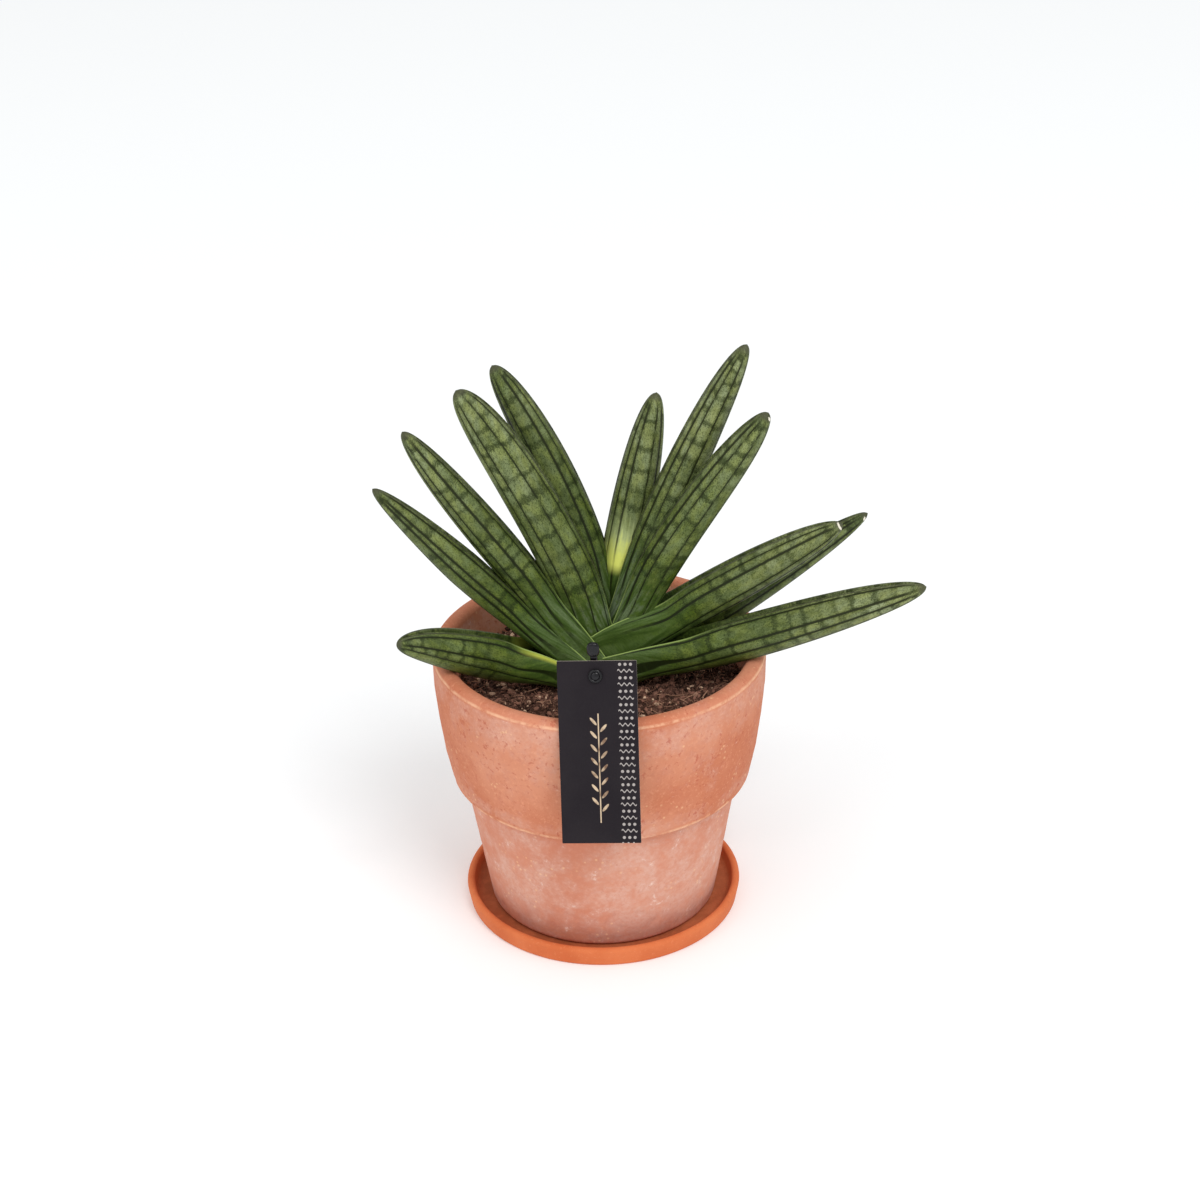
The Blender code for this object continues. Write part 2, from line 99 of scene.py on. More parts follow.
# Label card and stake
GAP = 0.0003
CARD_WIDTH = 0.0382
CARD_HEIGHT = 0.0904
CARD_THICKNESS = 0.0008
CARD_LEAN = math.radians(16)
CARD_TURN = math.radians(-4.7)
CARD_ROLL = math.radians(1.9)
CARD_CENTRE_X = -0.0022
CARD_TOP_Z = 0.1812
CARD_HOLE_RADIUS = 0.0026
CARD_HOLE_DROP = 0.0072
CARD_HOLE_X = -0.0007
CARD_CORNER = 0.0004
SPRIG_TOP = 26.0
SPRIG_END = 80.0
SPRIG_STEP = 6.6
SPRIG_FIRST = 4
SPRIG_LAST = 10
SPRIG_TILT = math.radians(50)
LEAFLET_HALF_LENGTH = 2.4
LEAFLET_HALF_WIDTH = 0.70
BORDER_MIDDLE = 13.6
BORDER_STEP = 6.6
BORDER_HALF = 3.9
MOTIF_WIDTH = 2.6
STAKE_WIDTH = 0.0054
STAKE_THICKNESS = 0.0020
STAKE_TOP_Z = 0.1905
STAKE_FOOT_Z = 0.1100
STAKE_POINT = 0.0080
STAKE_SETBACK = 0.0046
STAKE_LEAN = math.radians(6)
STAKE_NECK = 0.0034
STAKE_KNOB_SHIFT = -0.0012
STAKE_KNOB_SIZE = (0.0031, 0.0040, 0.0017)
STAKE_SECTION = ((-1.0, -0.5), (-0.8, -1.0), (0.8, -1.0), (1.0, -0.5),
                 (1.0, 0.5), (0.8, 1.0), (-0.8, 1.0), (-1.0, 0.5))
PIN_HEAD = (0.0021, 0.0021, 0.0008)
PIN_RING_RADIUS = 0.0027
PIN_RING_THICKNESS = 0.0007
PIN_SHAFT_RADIUS = 0.0019


@dataclass
class Leaf:
    """One leaf: its centre line's four points, its thickness across the fan, and its shape at the crown."""

    base: tuple
    low: tuple
    high: tuple
    tip: tuple
    thickness: float
    widest: float
    bluntness: float
    base_share: float
    crown_width: float
    keel_drop: float
    arm_rise: float


LEAVES = {
    "leaf_01": Leaf((0.0010, 0.002, 0.1240), (0.0102, 0.012, 0.1760), (0.0203, 0.018, 0.2284),
                    (0.0306, 0.022, 0.2767), 0.0227, 0.46, 2.1, 0.55, 0.0070, 0.000, 0.0000),
    "leaf_02": Leaf((-0.0016, 0.003, 0.1240), (-0.0018, 0.011, 0.1807), (-0.0242, 0.017, 0.2445),
                    (-0.0497, 0.021, 0.2931), 0.0215, 0.46, 2.3, 0.54, 0.0095, 0.002, 0.0000),
    "leaf_03": Leaf((0.0011, 0.001, 0.1240), (0.0205, 0.004, 0.1857), (0.0473, 0.005, 0.2519),
                    (0.0737, 0.005, 0.3082), 0.0210, 0.40, 2.35, 0.55, 0.0120, 0.002, 0.0000),
    "leaf_04": Leaf((0.0039, -0.001, 0.1240), (0.0240, -0.003, 0.1825), (0.0538, -0.010, 0.2365),
                    (0.0828, -0.017, 0.2820), 0.0215, 0.47, 2.35, 0.53, 0.0145, 0.004, 0.0000),
    "leaf_05": Leaf((-0.0021, 0.000, 0.1240), (-0.0074, -0.002, 0.1738), (-0.0356, -0.003, 0.2392),
                    (-0.0665, -0.003, 0.2905), 0.0260, 0.45, 2.6, 0.53, 0.0170, 0.004, 0.0000),
    "leaf_06": Leaf((0.0085, 0.004, 0.1314), (0.0506, 0.014, 0.1534), (0.0938, 0.021, 0.1790),
                    (0.1370, 0.027, 0.2062), 0.0206, 0.45, 1.3, 0.45, 0.0175, 0.000, 0.0000),
    "leaf_07": Leaf((0.0010, -0.0015, 0.1425), (0.0434, -0.003, 0.1698), (0.0828, -0.006, 0.1950),
                    (0.1205, -0.010, 0.2187), 0.0226, 0.42, 2.1, 0.95, 0.0215, 0.004, 0.0085),
    "leaf_08": Leaf((0.0045, -0.004, 0.1385), (0.0558, -0.015, 0.1542), (0.1082, -0.025, 0.1751),
                    (0.1597, -0.035, 0.1960), 0.0232, 0.45, 2.0, 0.51, 0.0240, 0.007, 0.0065),
    "leaf_09": Leaf((0.0041, -0.002, 0.1270), (-0.0303, -0.005, 0.1812), (-0.0629, -0.008, 0.2288),
                    (-0.0929, -0.010, 0.2724), 0.0197, 0.52, 1.85, 0.68, 0.0276, 0.005, 0.0050),
    "leaf_10": Leaf((-0.0010, -0.003, 0.1330), (-0.0418, -0.008, 0.1721), (-0.0731, -0.013, 0.2070),
                    (-0.1082, -0.017, 0.2457), 0.0184, 0.58, 1.4, 0.57, 0.0290, 0.006, 0.0030),
    "leaf_11": Leaf((-0.0110, -0.005, 0.1382), (-0.0492, -0.017, 0.1508), (-0.0770, -0.030, 0.1647),
                    (-0.0987, -0.043, 0.1738), 0.0248, 0.39, 1.55, 0.34, 0.0300, 0.006, 0.0030),
}
STATIONS = 110
TIP_STATIONS = (0.9885, 0.9915, 0.9940, 0.9962, 0.9980)
OUTER_POINTS = 91
INNER_POINTS = 25
LEAF_GROOVES = 9
LANES = LEAF_GROOVES + 1
GROOVE_SHIFT = 0.045
GROOVE_DEPTH = 0.00022
GROOVE_WIDTH = 0.00055
CHANNEL_END = 0.45
MARGIN_WALL = 0.0009
KEEL_SHARE = 0.45
KEEL_DROP_END = 0.16
ARM_RISE_END = 0.34
TIP_POINT = 0.0004
TIP_ROUNDING = 0.48
ROUNDNESS = 0.94
WIDEST_HALF = 0.0108
CROWN_SQUARENESS = 7.0
SQUARE_END = 0.30
# In the layers of coordinates, each leaf's run starts 1000 mm after the last one's, and the channel's
# skin starts at 60 mm
LEAF_SPACING = 1000
CHANNEL_SKIN = 60.0


# Shader graphs

class Graph:
    """A material under construction, with short names for the nodes used here."""

    def __init__(self, name):
        self.material = bpy.data.materials.new(name)
        self.material.use_nodes = True
        self.tree = self.material.node_tree
        self.shader = self.tree.nodes["Principled BSDF"]

    def put(self, socket, value):
        if isinstance(value, bpy.types.NodeSocket):
            self.tree.links.new(value, socket)
        elif isinstance(value, tuple) and len(value) == 3 and len(socket.default_value) == 4:
            socket.default_value = (*value, 1.0)
        else:
            socket.default_value = value

    def math(self, operation, first, second=0.0, third=0.0):
        node = self.tree.nodes.new("ShaderNodeMath")
        node.operation = operation
        for socket, value in zip(node.inputs, (first, second, third)):
            self.put(socket, value)
        return node.outputs[0]

    def add(self, first, second):
        return self.math("ADD", first, second)

    def less(self, first, second):
        return self.math("SUBTRACT", first, second)

    def times(self, first, *others):
        for other in others:
            first = self.math("MULTIPLY", first, other)
        return first

    def vector(self, x, y, z):
        node = self.tree.nodes.new("ShaderNodeCombineXYZ")
        for socket, value in zip(node.inputs, (x, y, z)):
            self.put(socket, value)
        return node.outputs[0]

    def split(self, value):
        node = self.tree.nodes.new("ShaderNodeSeparateXYZ")
        self.put(node.inputs[0], value)
        return node.outputs

    def length(self, x, y):
        node = self.tree.nodes.new("ShaderNodeVectorMath")
        node.operation = "LENGTH"
        self.put(node.inputs[0], self.vector(x, y, 0.0))
        return node.outputs["Value"]

    def oval(self, x, y, half_x, half_y):
        """The distance from the middle of an ellipse, which is 1 on its edge."""
        return self.length(self.math("DIVIDE", x, half_x), self.math("DIVIDE", y, half_y))

    def layer(self, name):
        node = self.tree.nodes.new("ShaderNodeUVMap")
        node.uv_map = name
        parts = self.split(node.outputs[0])
        return parts[0], parts[1]

    def place(self):
        return self.tree.nodes.new("ShaderNodeTexCoord").outputs["Object"]

    def noise(self, at, scale, detail=2.0, roughness=0.5, distortion=0.0):
        node = self.tree.nodes.new("ShaderNodeTexNoise")
        self.put(node.inputs["Vector"], at)
        node.inputs["Scale"].default_value = scale
        node.inputs["Detail"].default_value = detail
        node.inputs["Roughness"].default_value = roughness
        node.inputs["Distortion"].default_value = distortion
        return node.outputs[0]

    def cells(self, at, scale):
        """The distance to the nearest of many scattered points."""
        node = self.tree.nodes.new("ShaderNodeTexVoronoi")
        self.put(node.inputs["Vector"], at)
        node.inputs["Scale"].default_value = scale
        return node.outputs[0]

    def draw(self, first, second):
        """A random value from 0 to 1 for each pair of whole numbers."""
        node = self.tree.nodes.new("ShaderNodeTexWhiteNoise")
        node.noise_dimensions = "2D"
        self.put(node.inputs["Vector"], self.vector(first, second, 0.0))
        return node.outputs[0]

    def ramp(self, value, low, high, start=0.0, end=1.0):
        """Rises smoothly from start to end while value goes from low to high."""
        node = self.tree.nodes.new("ShaderNodeMapRange")
        node.interpolation_type = "SMOOTHSTEP"
        for name, setting in (("Value", value), ("From Min", low), ("From Max", high),
                              ("To Min", start), ("To Max", end)):
            self.put(node.inputs[name], setting)
        return node.outputs[0]

    def fall(self, value, low, high):
        """Falls smoothly from 1 to 0 while value goes from low to high."""
        return self.ramp(value, low, high, 1.0, 0.0)

    def between(self, value, start, full, fade, end):
        """0 up to start, 1 from full to fade, and 0 again from end."""
        return self.times(self.ramp(value, start, full), self.fall(value, fade, end))

    def mix(self, share, first, second):
        node = self.tree.nodes.new("ShaderNodeMix")
        node.data_type = "RGBA"
        self.put(node.inputs[0], share)
        self.put(node.inputs[6], first)
        self.put(node.inputs[7], second)
        return node.outputs[2]

    def bump(self, height, distance, strength):
        node = self.tree.nodes.new("ShaderNodeBump")
        node.inputs["Distance"].default_value = distance
        node.inputs["Strength"].default_value = strength
        self.put(node.inputs["Height"], height)
        return node.outputs[0]

    def finish(self, colour, roughness, normal=None, **settings):
        self.put(self.shader.inputs["Base Color"], colour)
        self.put(self.shader.inputs["Roughness"], roughness)
        if normal is not None:
            self.put(self.shader.inputs["Normal"], normal)
        for name, value in settings.items():
            self.put(self.shader.inputs[name.replace("_", " ")], value)
        return self.material


def srgb(red, green, blue):
    """A display colour, 0 to 255, as the linear one that the shader takes."""
    linear = []
    for level in (red, green, blue):
        share = level / 255
        linear.append(share / 12.92 if share <= 0.04045 else ((share + 0.055) / 1.055) ** 2.4)
    return tuple(linear)


# Placing the pieces

def place_mesh(mesh, node, look):
    """Puts a finished mesh in the place of the solid."""
    mesh.materials.append(look)
    made = bpy.data.objects.new(node + "_dressed", mesh)
    bpy.context.scene.collection.objects.link(made)
    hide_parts(node)
    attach(made, BODY)


def place_piece(bm, node, look, crease):
    """Turns the faces outwards, keeps edges sharper than crease, in degrees, and places the piece."""
    bmesh.ops.recalc_face_normals(bm, faces=bm.faces)
    mesh = bpy.data.meshes.new(node)
    bm.to_mesh(mesh)
    bm.free()
    mesh.set_sharp_from_angle(angle=math.radians(crease))
    place_mesh(mesh, node, look)


# Leaf form

def ease(value):
    value = min(max(value, 0.0), 1.0)
    return value * value * (3 - 2 * value)


def mix(first, second, share):
    return first + (second - first) * share


def centre_line(leaf):
    """A smooth curve through the leaf's four points, as a function of the share of its length."""
    points = [Vector(p) for p in (leaf.base, leaf.low, leaf.high, leaf.tip)]
    places = (0.0, 1 / 3, 2 / 3, 1.0)

    def at(share):
        found = Vector()
        for i, point in enumerate(points):
            weight = 1.0
            for j, place in enumerate(places):
                if j != i:
                    weight *= (share - place) / (places[i] - place)
            found += point * weight
        return found

    return at


def half_thickness(leaf, share):
    half = leaf.thickness / 2
    if share < leaf.widest:
        return half * mix(leaf.base_share, 1.0, math.sin(math.pi / 2 * share / leaf.widest))
    rest = (share - leaf.widest) / (1 - leaf.widest)
    return half * max(1 - rest ** leaf.bluntness, 0.0) ** TIP_ROUNDING


def half_width(leaf, share):
    free = ROUNDNESS * half_thickness(leaf, share) * min(1.0, WIDEST_HALF / (leaf.thickness / 2))
    return mix(leaf.crown_width / 2, free, ease((share - 0.06) / 0.34))


def keel_reach(leaf, share):
    return half_thickness(leaf, share) + leaf.keel_drop * (1 - ease(share / KEEL_DROP_END))


def arm_reach(leaf, share):
    return half_thickness(leaf, share) + leaf.arm_rise * (1 - ease(share / ARM_RISE_END))


def squareness(share):
    """The power of the section's curve: nearly a box at the crown, and 2, an ellipse, further out."""
    return mix(CROWN_SQUARENESS, 2.0, ease(share / SQUARE_END))


def rim_point(leaf, share, angle, grow):
    """A point on the leaf's outer form, as (across, inward). Angle 0 is the keel."""
    power = 2 / squareness(share) if abs(angle) > math.pi / 2 else 1.0
    rise = math.cos(angle)
    reach = keel_reach(leaf, share) if rise > 0 else arm_reach(leaf, share)
    across = (half_width(leaf, share) + grow) * math.copysign(abs(math.sin(angle)) ** power, angle)
    return across, -(reach + grow) * math.copysign(abs(rise) ** power, rise)


def lane_edges(leaf):
    """The places of the grooves on a leaf's outer form, as in the solids, from margin to margin as -1 to 1."""
    even = [2 * (i + 0.5) / LEAF_GROOVES - 1 for i in range(LEAF_GROOVES)]
    shifted = [place + GROOVE_SHIFT * math.sin(700 * leaf.tip[0] + 2.4 * i) for i, place in enumerate(even)]
    return [-1.0] + shifted + [1.0]


def lane_at(edges, place):
    """The lane coordinate at a place from -1 to 1: whole numbers are dark lines. Also the lane's width."""
    lane = 0
    while lane < len(edges) - 2 and place > edges[lane + 1]:
        lane += 1
    width = edges[lane + 1] - edges[lane]
    return lane + (place - edges[lane]) / width, width


def outer_place(i):
    """The place of an outer point between the margins, from -1 to 1."""
    return 2 * i / (OUTER_POINTS - 1) - 1


def inner_place(i):
    """The place of a point in the channel, from margin back to margin, as 1 to -1."""
    return 1 - 2 * (i + 0.35) / (INNER_POINTS - 0.3)


def channel_ring(leaf, share, edge_across, edge_in):
    """The section's inner side: a deep trough between thin margins at the crown, and a shallow dip above."""
    closing = ease(share / CHANNEL_END)
    inner_half = half_width(leaf, share) - MARGIN_WALL
    lip = min(MARGIN_WALL, 0.5 * edge_across)
    bottom = (1 - KEEL_SHARE) * half_thickness(leaf, share)
    channel = mix(1.5, 0.14, closing) * half_thickness(leaf, share)
    blend = ease((share - 0.05) / (CHANNEL_END - 0.10))
    inner = []
    for i in range(INNER_POINTS):
        place = inner_place(i)
        if abs(place) >= 0.5:
            rise = (abs(place) - 0.5) * 2
            deep = (math.copysign(mix(inner_half, edge_across - lip, rise), place), mix(0.0, edge_in, rise))
        else:
            turn = place * math.pi
            deep = (inner_half * math.sin(turn), -bottom * math.cos(turn))
        shallow = ((edge_across - lip) * place, edge_in - channel * math.cos(place * math.pi / 2))
        inner.append((mix(deep[0], shallow[0], blend), mix(deep[1], shallow[1], blend)))
    return inner


def leaf_ring(leaf, share, edges):
    """The leaf's section, as points (across, inward) from margin to margin and back along the channel."""
    opening = mix(0.94, 0.22, ease(share / CHANNEL_END))
    end = math.pi - math.asin(opening ** (squareness(share) / 2))
    depth = GROOVE_DEPTH * ease((share - 0.06) / 0.20) * (1 - ease((share - 0.93) / 0.06))
    girth = end * max(half_thickness(leaf, share), 0.0005)
    outer = []
    for i in range(OUTER_POINTS):
        lane, width = lane_at(edges, outer_place(i))
        off = abs(lane - round(lane)) * width * girth
        groove = depth * math.exp(-(off / GROOVE_WIDTH) ** 2) if 0 < round(lane) < LANES else 0.0
        outer.append(rim_point(leaf, share, end * outer_place(i), -groove))
    return outer, channel_ring(leaf, share, *outer[-1]), girth


def pattern_facts(edges, girth, half_channel):
    """For each point of a section: its lane, the lane's width, how far in from the margin it lies, whether
    it is in the channel, and its place across. Lengths are in millimetres."""
    facts = []
    for i in range(OUTER_POINTS):
        place = outer_place(i)
        lane, width = lane_at(edges, place)
        facts.append((lane, width * girth * MM, (1 - abs(place)) * girth * MM, 0.0, place * girth * MM))
    half = max(half_channel, 0.0004)
    for i in range(INNER_POINTS):
        place = inner_place(i)
        margin = (1 - abs(place)) * half * MM
        facts.append((LANES + 2 + place * 2, half * MM / 2, margin, 1.0, CHANNEL_SKIN + place * half * MM))
    return facts


def leaf_frame(at, share):
    step = 0.01
    point = at(share)
    middle = min(max(share, step), 1 - step)
    along = (at(middle + step) - at(middle - step)).normalized()
    across = (Vector((0.0, 1.0, 0.0)) - along * along.y).normalized()
    side = -1.0 if at(1.0).x > at(0.0).x else 1.0
    return point, across.cross(along) * side, across


def make_leaf(name, leaf, index, look):
    """The fine leaf, with four layers of coordinates for its pattern: lanes, run along, edge and skin."""
    at = centre_line(leaf)
    edges = lane_edges(leaf)
    length = sum((at((i + 1) / 60) - at(i / 60)).length for i in range(60))
    shares = [0.985 * (1 - (1 - i / (STATIONS - 1)) ** 1.15) for i in range(STATIONS)] + list(TIP_STATIONS)
    bm = bmesh.new()
    layers = [bm.loops.layers.uv.new(title) for title in ("lanes", "run", "edge", "skin")]

    def mark(loop, facts, share, twin=None):
        lane, width, margin, inside, skin = facts
        if twin is not None:
            lane, _, _, inside, skin = twin
        run = share * length * MM + LEAF_SPACING * index
        for layer, pair in zip(layers, ((lane, width), (run, share), (margin, inside), (skin, float(index)))):
            loop[layer].uv = pair

    rings = []
    for share in shares:
        point, inward, across = leaf_frame(at, share)
        outer, inner, girth = leaf_ring(leaf, share, edges)
        ring = [bm.verts.new(point + across * side + inward * rise) for side, rise in outer + inner]
        rings.append((ring, pattern_facts(edges, girth, inner[0][0]), share))
    count = OUTER_POINTS + INNER_POINTS
    for (low, low_facts, low_share), (high, high_facts, high_share) in zip(rings, rings[1:]):
        for i in range(count):
            after = (i + 1) % count
            face = bm.faces.new((low[i], low[after], high[after], high[i]))
            face.smooth = True
            corners = ((low_facts, low_share, i), (low_facts, low_share, after),
                       (high_facts, high_share, after), (high_facts, high_share, i))
            for loop, (facts, share, place) in zip(face.loops, corners):
                twin = None
                # A channel face at a margin takes its pattern from the channel alone
                if i >= OUTER_POINTS - 1 and place < OUTER_POINTS:
                    twin = low_facts[OUTER_POINTS if place == OUTER_POINTS - 1 else count - 1]
                mark(loop, facts[place], share, twin)
    for loop in bm.faces.new(list(reversed(rings[0][0]))).loops:
        mark(loop, (0.5, 4.0, 4.0, 1.0, 0.0), 0.0)
    tip = bm.verts.new(at(1.0) + (at(1.0) - at(0.98)).normalized() * TIP_POINT)
    last, last_facts, last_share = rings[-1]
    for i in range(count):
        after = (i + 1) % count
        face = bm.faces.new((last[i], last[after], tip))
        face.smooth = True
        for loop, facts in zip(face.loops, (last_facts[i], last_facts[after], last_facts[i])):
            mark(loop, facts, last_share if loop.vert is not tip else 1.0)
    place_piece(bm, name, look, 50)


@dataclass
class Skin:
    """How one leaf's pattern differs: millimetres of plain green at its base, then the strength of each trait.

    A scar is a white torn spot: its share of the length, half its extent there, its place across in
    millimetres, and half its extent across.
    """

    plain: float
    # lift: how much paler the leaf grows from its crown to its tip. This is partly the leaf's own tone and
    # partly painted light, with shade low among the leaves and on the dimmer leaves
    lift: float
    dust: float = 0.0
    youth: float = 0.0
    yellow_foot: float = 0.0
    scar: tuple = ()


SKINS = {
    "leaf_01": Skin(58, 0.90, youth=0.95),
    "leaf_02": Skin(58, 0.62, dust=0.6),
    "leaf_03": Skin(64, 1.10, dust=1.0),
    "leaf_04": Skin(52, 0.70, dust=0.7, scar=(0.9880, 0.0060, -1.8, 0.9)),
    "leaf_05": Skin(52, 0.84, dust=1.0),
    "leaf_06": Skin(30, 0.52, scar=(0.9830, 0.0060, -2.6, 0.8)),
    "leaf_07": Skin(32, 1.04, dust=0.2, scar=(0.9900, 0.0036, -3.6, 3.2)),
    "leaf_08": Skin(24, 1.02, dust=0.3),
    "leaf_09": Skin(46, 0.76, dust=0.5),
    "leaf_10": Skin(38, 0.62, dust=0.4),
    "leaf_11": Skin(16, 0.50, yellow_foot=0.8),
}
YOUNG_START = 64.0
YOUNG_END = 98.0
BAND_STEP = 9.2
GREEN_FADE = 24.0


def leaf_fields(g, skin):
    """The coordinates of the leaf's pattern and the uneven fields that break it up."""
    s = SimpleNamespace()
    lane, lane_mm = g.layer("lanes")
    s.along, s.share = g.layer("run")
    s.margin, s.inside = g.layer("edge")
    s.across, s.leaf_number = g.layer("skin")
    s.from_base = g.math("MODULO", s.along, float(LEAF_SPACING))
    s.lane_number = g.math("FLOOR", lane)
    s.line_number = g.math("ROUND", lane)
    s.to_line = g.times(g.math("PINGPONG", lane, 0.5), lane_mm)

    def uneven(along_scale, side, side_scale, seed, detail=2.0, roughness=0.5):
        at = g.vector(g.times(s.along, along_scale), g.times(side, side_scale), seed)
        return g.noise(at, 1.0, detail, roughness)

    s.fine = uneven(0.75, s.across, 1.05, 0.0, 3.0, 0.65)
    s.blotch = uneven(0.24, s.across, 0.34, 5.0)
    s.cloud = g.less(uneven(0.050, s.across, 0.07, 3.0), 0.5)
    s.streak = uneven(0.05, s.across, 0.45, 8.0, 3.0, 0.6)
    s.flecks = uneven(1.5, s.across, 1.9, 6.0, 3.0, 0.7)
    s.drift = uneven(0.035, s.lane_number, 0.7, 0.0, 1.0)
    s.breaks = uneven(0.12, s.line_number, 1.7, 2.0)
    s.hue = g.ramp(uneven(0.10, s.across, 0.20, 11.0), 0.38, 0.62)
    # Partly painted light: dark copies of the colours at the crown and pale copies towards the tip, by a
    # strength given for each leaf. The cloud adds random tone
    s.lift = g.add(g.times(g.ramp(s.share, 0.16, 0.95), skin.lift), g.times(s.cloud, 0.80))
    s.halo = g.fall(s.to_line, 0.3, 1.9)
    return s


def cross_bands(g, s):
    """Where the dark bands lie across each lane, and a random draw for each patch between two of them."""
    phase = g.add(g.math("DIVIDE", s.along, BAND_STEP), g.times(s.drift, 2.4))
    phase = g.add(phase, g.add(g.times(s.fine, 0.45), g.times(s.blotch, 0.55)))
    band_draw = g.draw(g.math("ROUND", phase), s.lane_number)
    patch_draw = g.draw(g.math("FLOOR", phase), g.add(s.lane_number, 40.0))
    band = g.fall(g.times(g.math("PINGPONG", phase, 0.5), BAND_STEP), 0.5, 2.3)
    band = g.times(band, g.ramp(band_draw, 0.1, 0.9, 0.08, 1.0), g.ramp(s.flecks, 0.34, 0.54, 0.60, 1.0))
    return g.times(band, g.add(0.80, g.times(s.halo, 0.4))), patch_draw


def banded_skin(g, s):
    """Pale and plain patches with dark bands, shade beside the lines, and dark specks. Gives the specks too."""
    band, patch_draw = cross_bands(g, s)
    # Each colour has a shaded and a lit copy, mixed by lift, which is partly painted light
    pale = g.mix(s.lift, g.mix(s.hue, srgb(94, 112, 32), srgb(88, 108, 44)),
                 g.mix(s.hue, srgb(152, 160, 104), srgb(146, 156, 116)))
    plain = g.mix(s.lift, g.mix(s.hue, srgb(58, 76, 12), srgb(54, 72, 20)),
                  g.mix(s.hue, srgb(112, 120, 68), srgb(106, 116, 74)))
    patch = g.add(g.times(patch_draw, 0.55), g.times(g.ramp(s.blotch, 0.35, 0.65), 0.45))
    body = g.mix(patch, plain, pale)
    body = g.mix(g.times(s.halo, 0.30), body, g.mix(s.lift, srgb(48, 64, 20), srgb(84, 96, 48)))
    body = g.mix(g.times(band, 0.92), body, g.mix(s.lift, srgb(30, 46, 12), srgb(52, 62, 28)))
    near = g.add(g.times(s.halo, 0.05), g.times(band, 0.05))
    specks = g.add(g.add(g.times(s.flecks, 0.6), g.times(s.fine, 0.4)), near)
    specks = g.add(specks, g.times(s.cloud, -0.10))
    dark = g.mix(s.lift, srgb(28, 40, 8), srgb(52, 60, 26))
    return g.mix(g.times(g.ramp(specks, 0.48, 0.60), 0.72), body, dark), specks


def crown_skin(g, s, skin, specks):
    """The plain green of the leaf's base, in long streaks, with a pale dust on some leaves."""
    green = g.mix(g.ramp(s.streak, 0.25, 0.75), srgb(52, 74, 24), srgb(86, 110, 44))
    dust = g.ramp(g.add(s.blotch, g.ramp(s.margin, 2.0, 12.0, 0.25, 0.0)), 0.38, 0.65)
    dust = g.times(g.ramp(s.streak, 0.38, 0.66), dust)
    green = g.mix(g.times(dust, 0.55 * skin.dust), green, srgb(124, 134, 120))
    return g.mix(g.times(g.ramp(specks, 0.48, 0.62), 0.30), green, srgb(34, 50, 14))


def dark_lines(g, s, skin, ragged):
    """The dark lines along the grooves: broken here and there, absent at the crown and faint at the tip."""
    line_draw = g.draw(s.line_number, g.add(s.leaf_number, 7.0))
    half = g.ramp(line_draw, 0.1, 0.9, 0.22, 0.48)
    line = g.fall(s.to_line, half, g.add(half, 0.30))
    line = g.times(line, g.ramp(g.add(s.breaks, g.times(line_draw, 0.3)), 0.38, 0.52, 0.25, 1.0))
    line = g.times(line, g.ramp(ragged, skin.plain - 24.0, skin.plain + 4.0))
    line = g.times(line, g.ramp(s.share, 0.93, 0.985, 1.0, 0.15))
    return g.times(line, g.less(1.0, g.times(s.inside, 0.8)))


def add_young_foot(g, s, skin, line, body):
    """The pale yellow foot of the young leaf, which ends at once in front and fades slowly behind."""
    uneven = g.add(g.times(g.less(s.blotch, 0.5), 10.0), g.times(g.less(s.streak, 0.5), 26.0))
    ragged = g.add(s.from_base, uneven)
    rise = g.ramp(ragged, YOUNG_START + 2.0, YOUNG_START + 20.0)
    young = g.mix(rise, srgb(232, 238, 118), srgb(186, 198, 138))
    front = g.ramp(s.from_base, YOUNG_START - 5.0, YOUNG_START + 2.0)
    back = g.ramp(ragged, YOUNG_START - 40.0, YOUNG_START + 2.0)
    cover = g.add(front, g.times(g.less(back, front), g.ramp(s.across, 0.0, 4.0)))
    cover = g.times(cover, g.fall(ragged, YOUNG_START + 10.0, YOUNG_END))
    cover = g.times(cover, g.ramp(s.margin, 3.0, 12.0, 0.45, 1.0))
    spared = g.times(line, 0.75, g.ramp(s.from_base, YOUNG_START, YOUNG_START + 14.0, 0.2, 1.0))
    cover = g.times(cover, g.less(1.0, spared))
    return g.mix(g.times(cover, skin.youth), body, young)


def add_yellow_margins(g, s, skin, body):
    sunny = g.times(g.fall(s.margin, 1.6, 4.6), g.ramp(s.from_base, 3.0, 9.0), g.fall(s.from_base, 20.0, 34.0))
    return g.mix(g.times(sunny, skin.yellow_foot), body, srgb(190, 196, 76))


def add_rims_and_tip(g, s, body):
    """Thin margins, pale green below and brown above, and a dull tip."""
    lower = g.fall(s.share, 0.25, 0.45)
    rim = g.times(g.fall(s.margin, 0.35, 1.05), g.less(1.0, s.inside))
    body = g.mix(g.times(rim, lower, 0.85), body, srgb(156, 178, 100))
    body = g.mix(g.times(rim, g.less(1.0, lower), 0.5), body, srgb(96, 96, 76))
    tip = g.ramp(g.add(s.share, g.times(s.fine, 0.01)), 0.976, 0.996)
    return g.mix(g.times(tip, 0.7), body, srgb(74, 74, 58))


def add_scar(g, s, scar, body):
    at_share, half_share, at_across, half_across = scar
    torn = g.oval(g.less(s.share, at_share), g.less(s.across, at_across), half_share, half_across)
    torn = g.fall(g.add(torn, g.times(g.less(s.flecks, 0.5), 1.2)), 0.75, 1.10)
    return g.mix(torn, body, srgb(232, 226, 208))


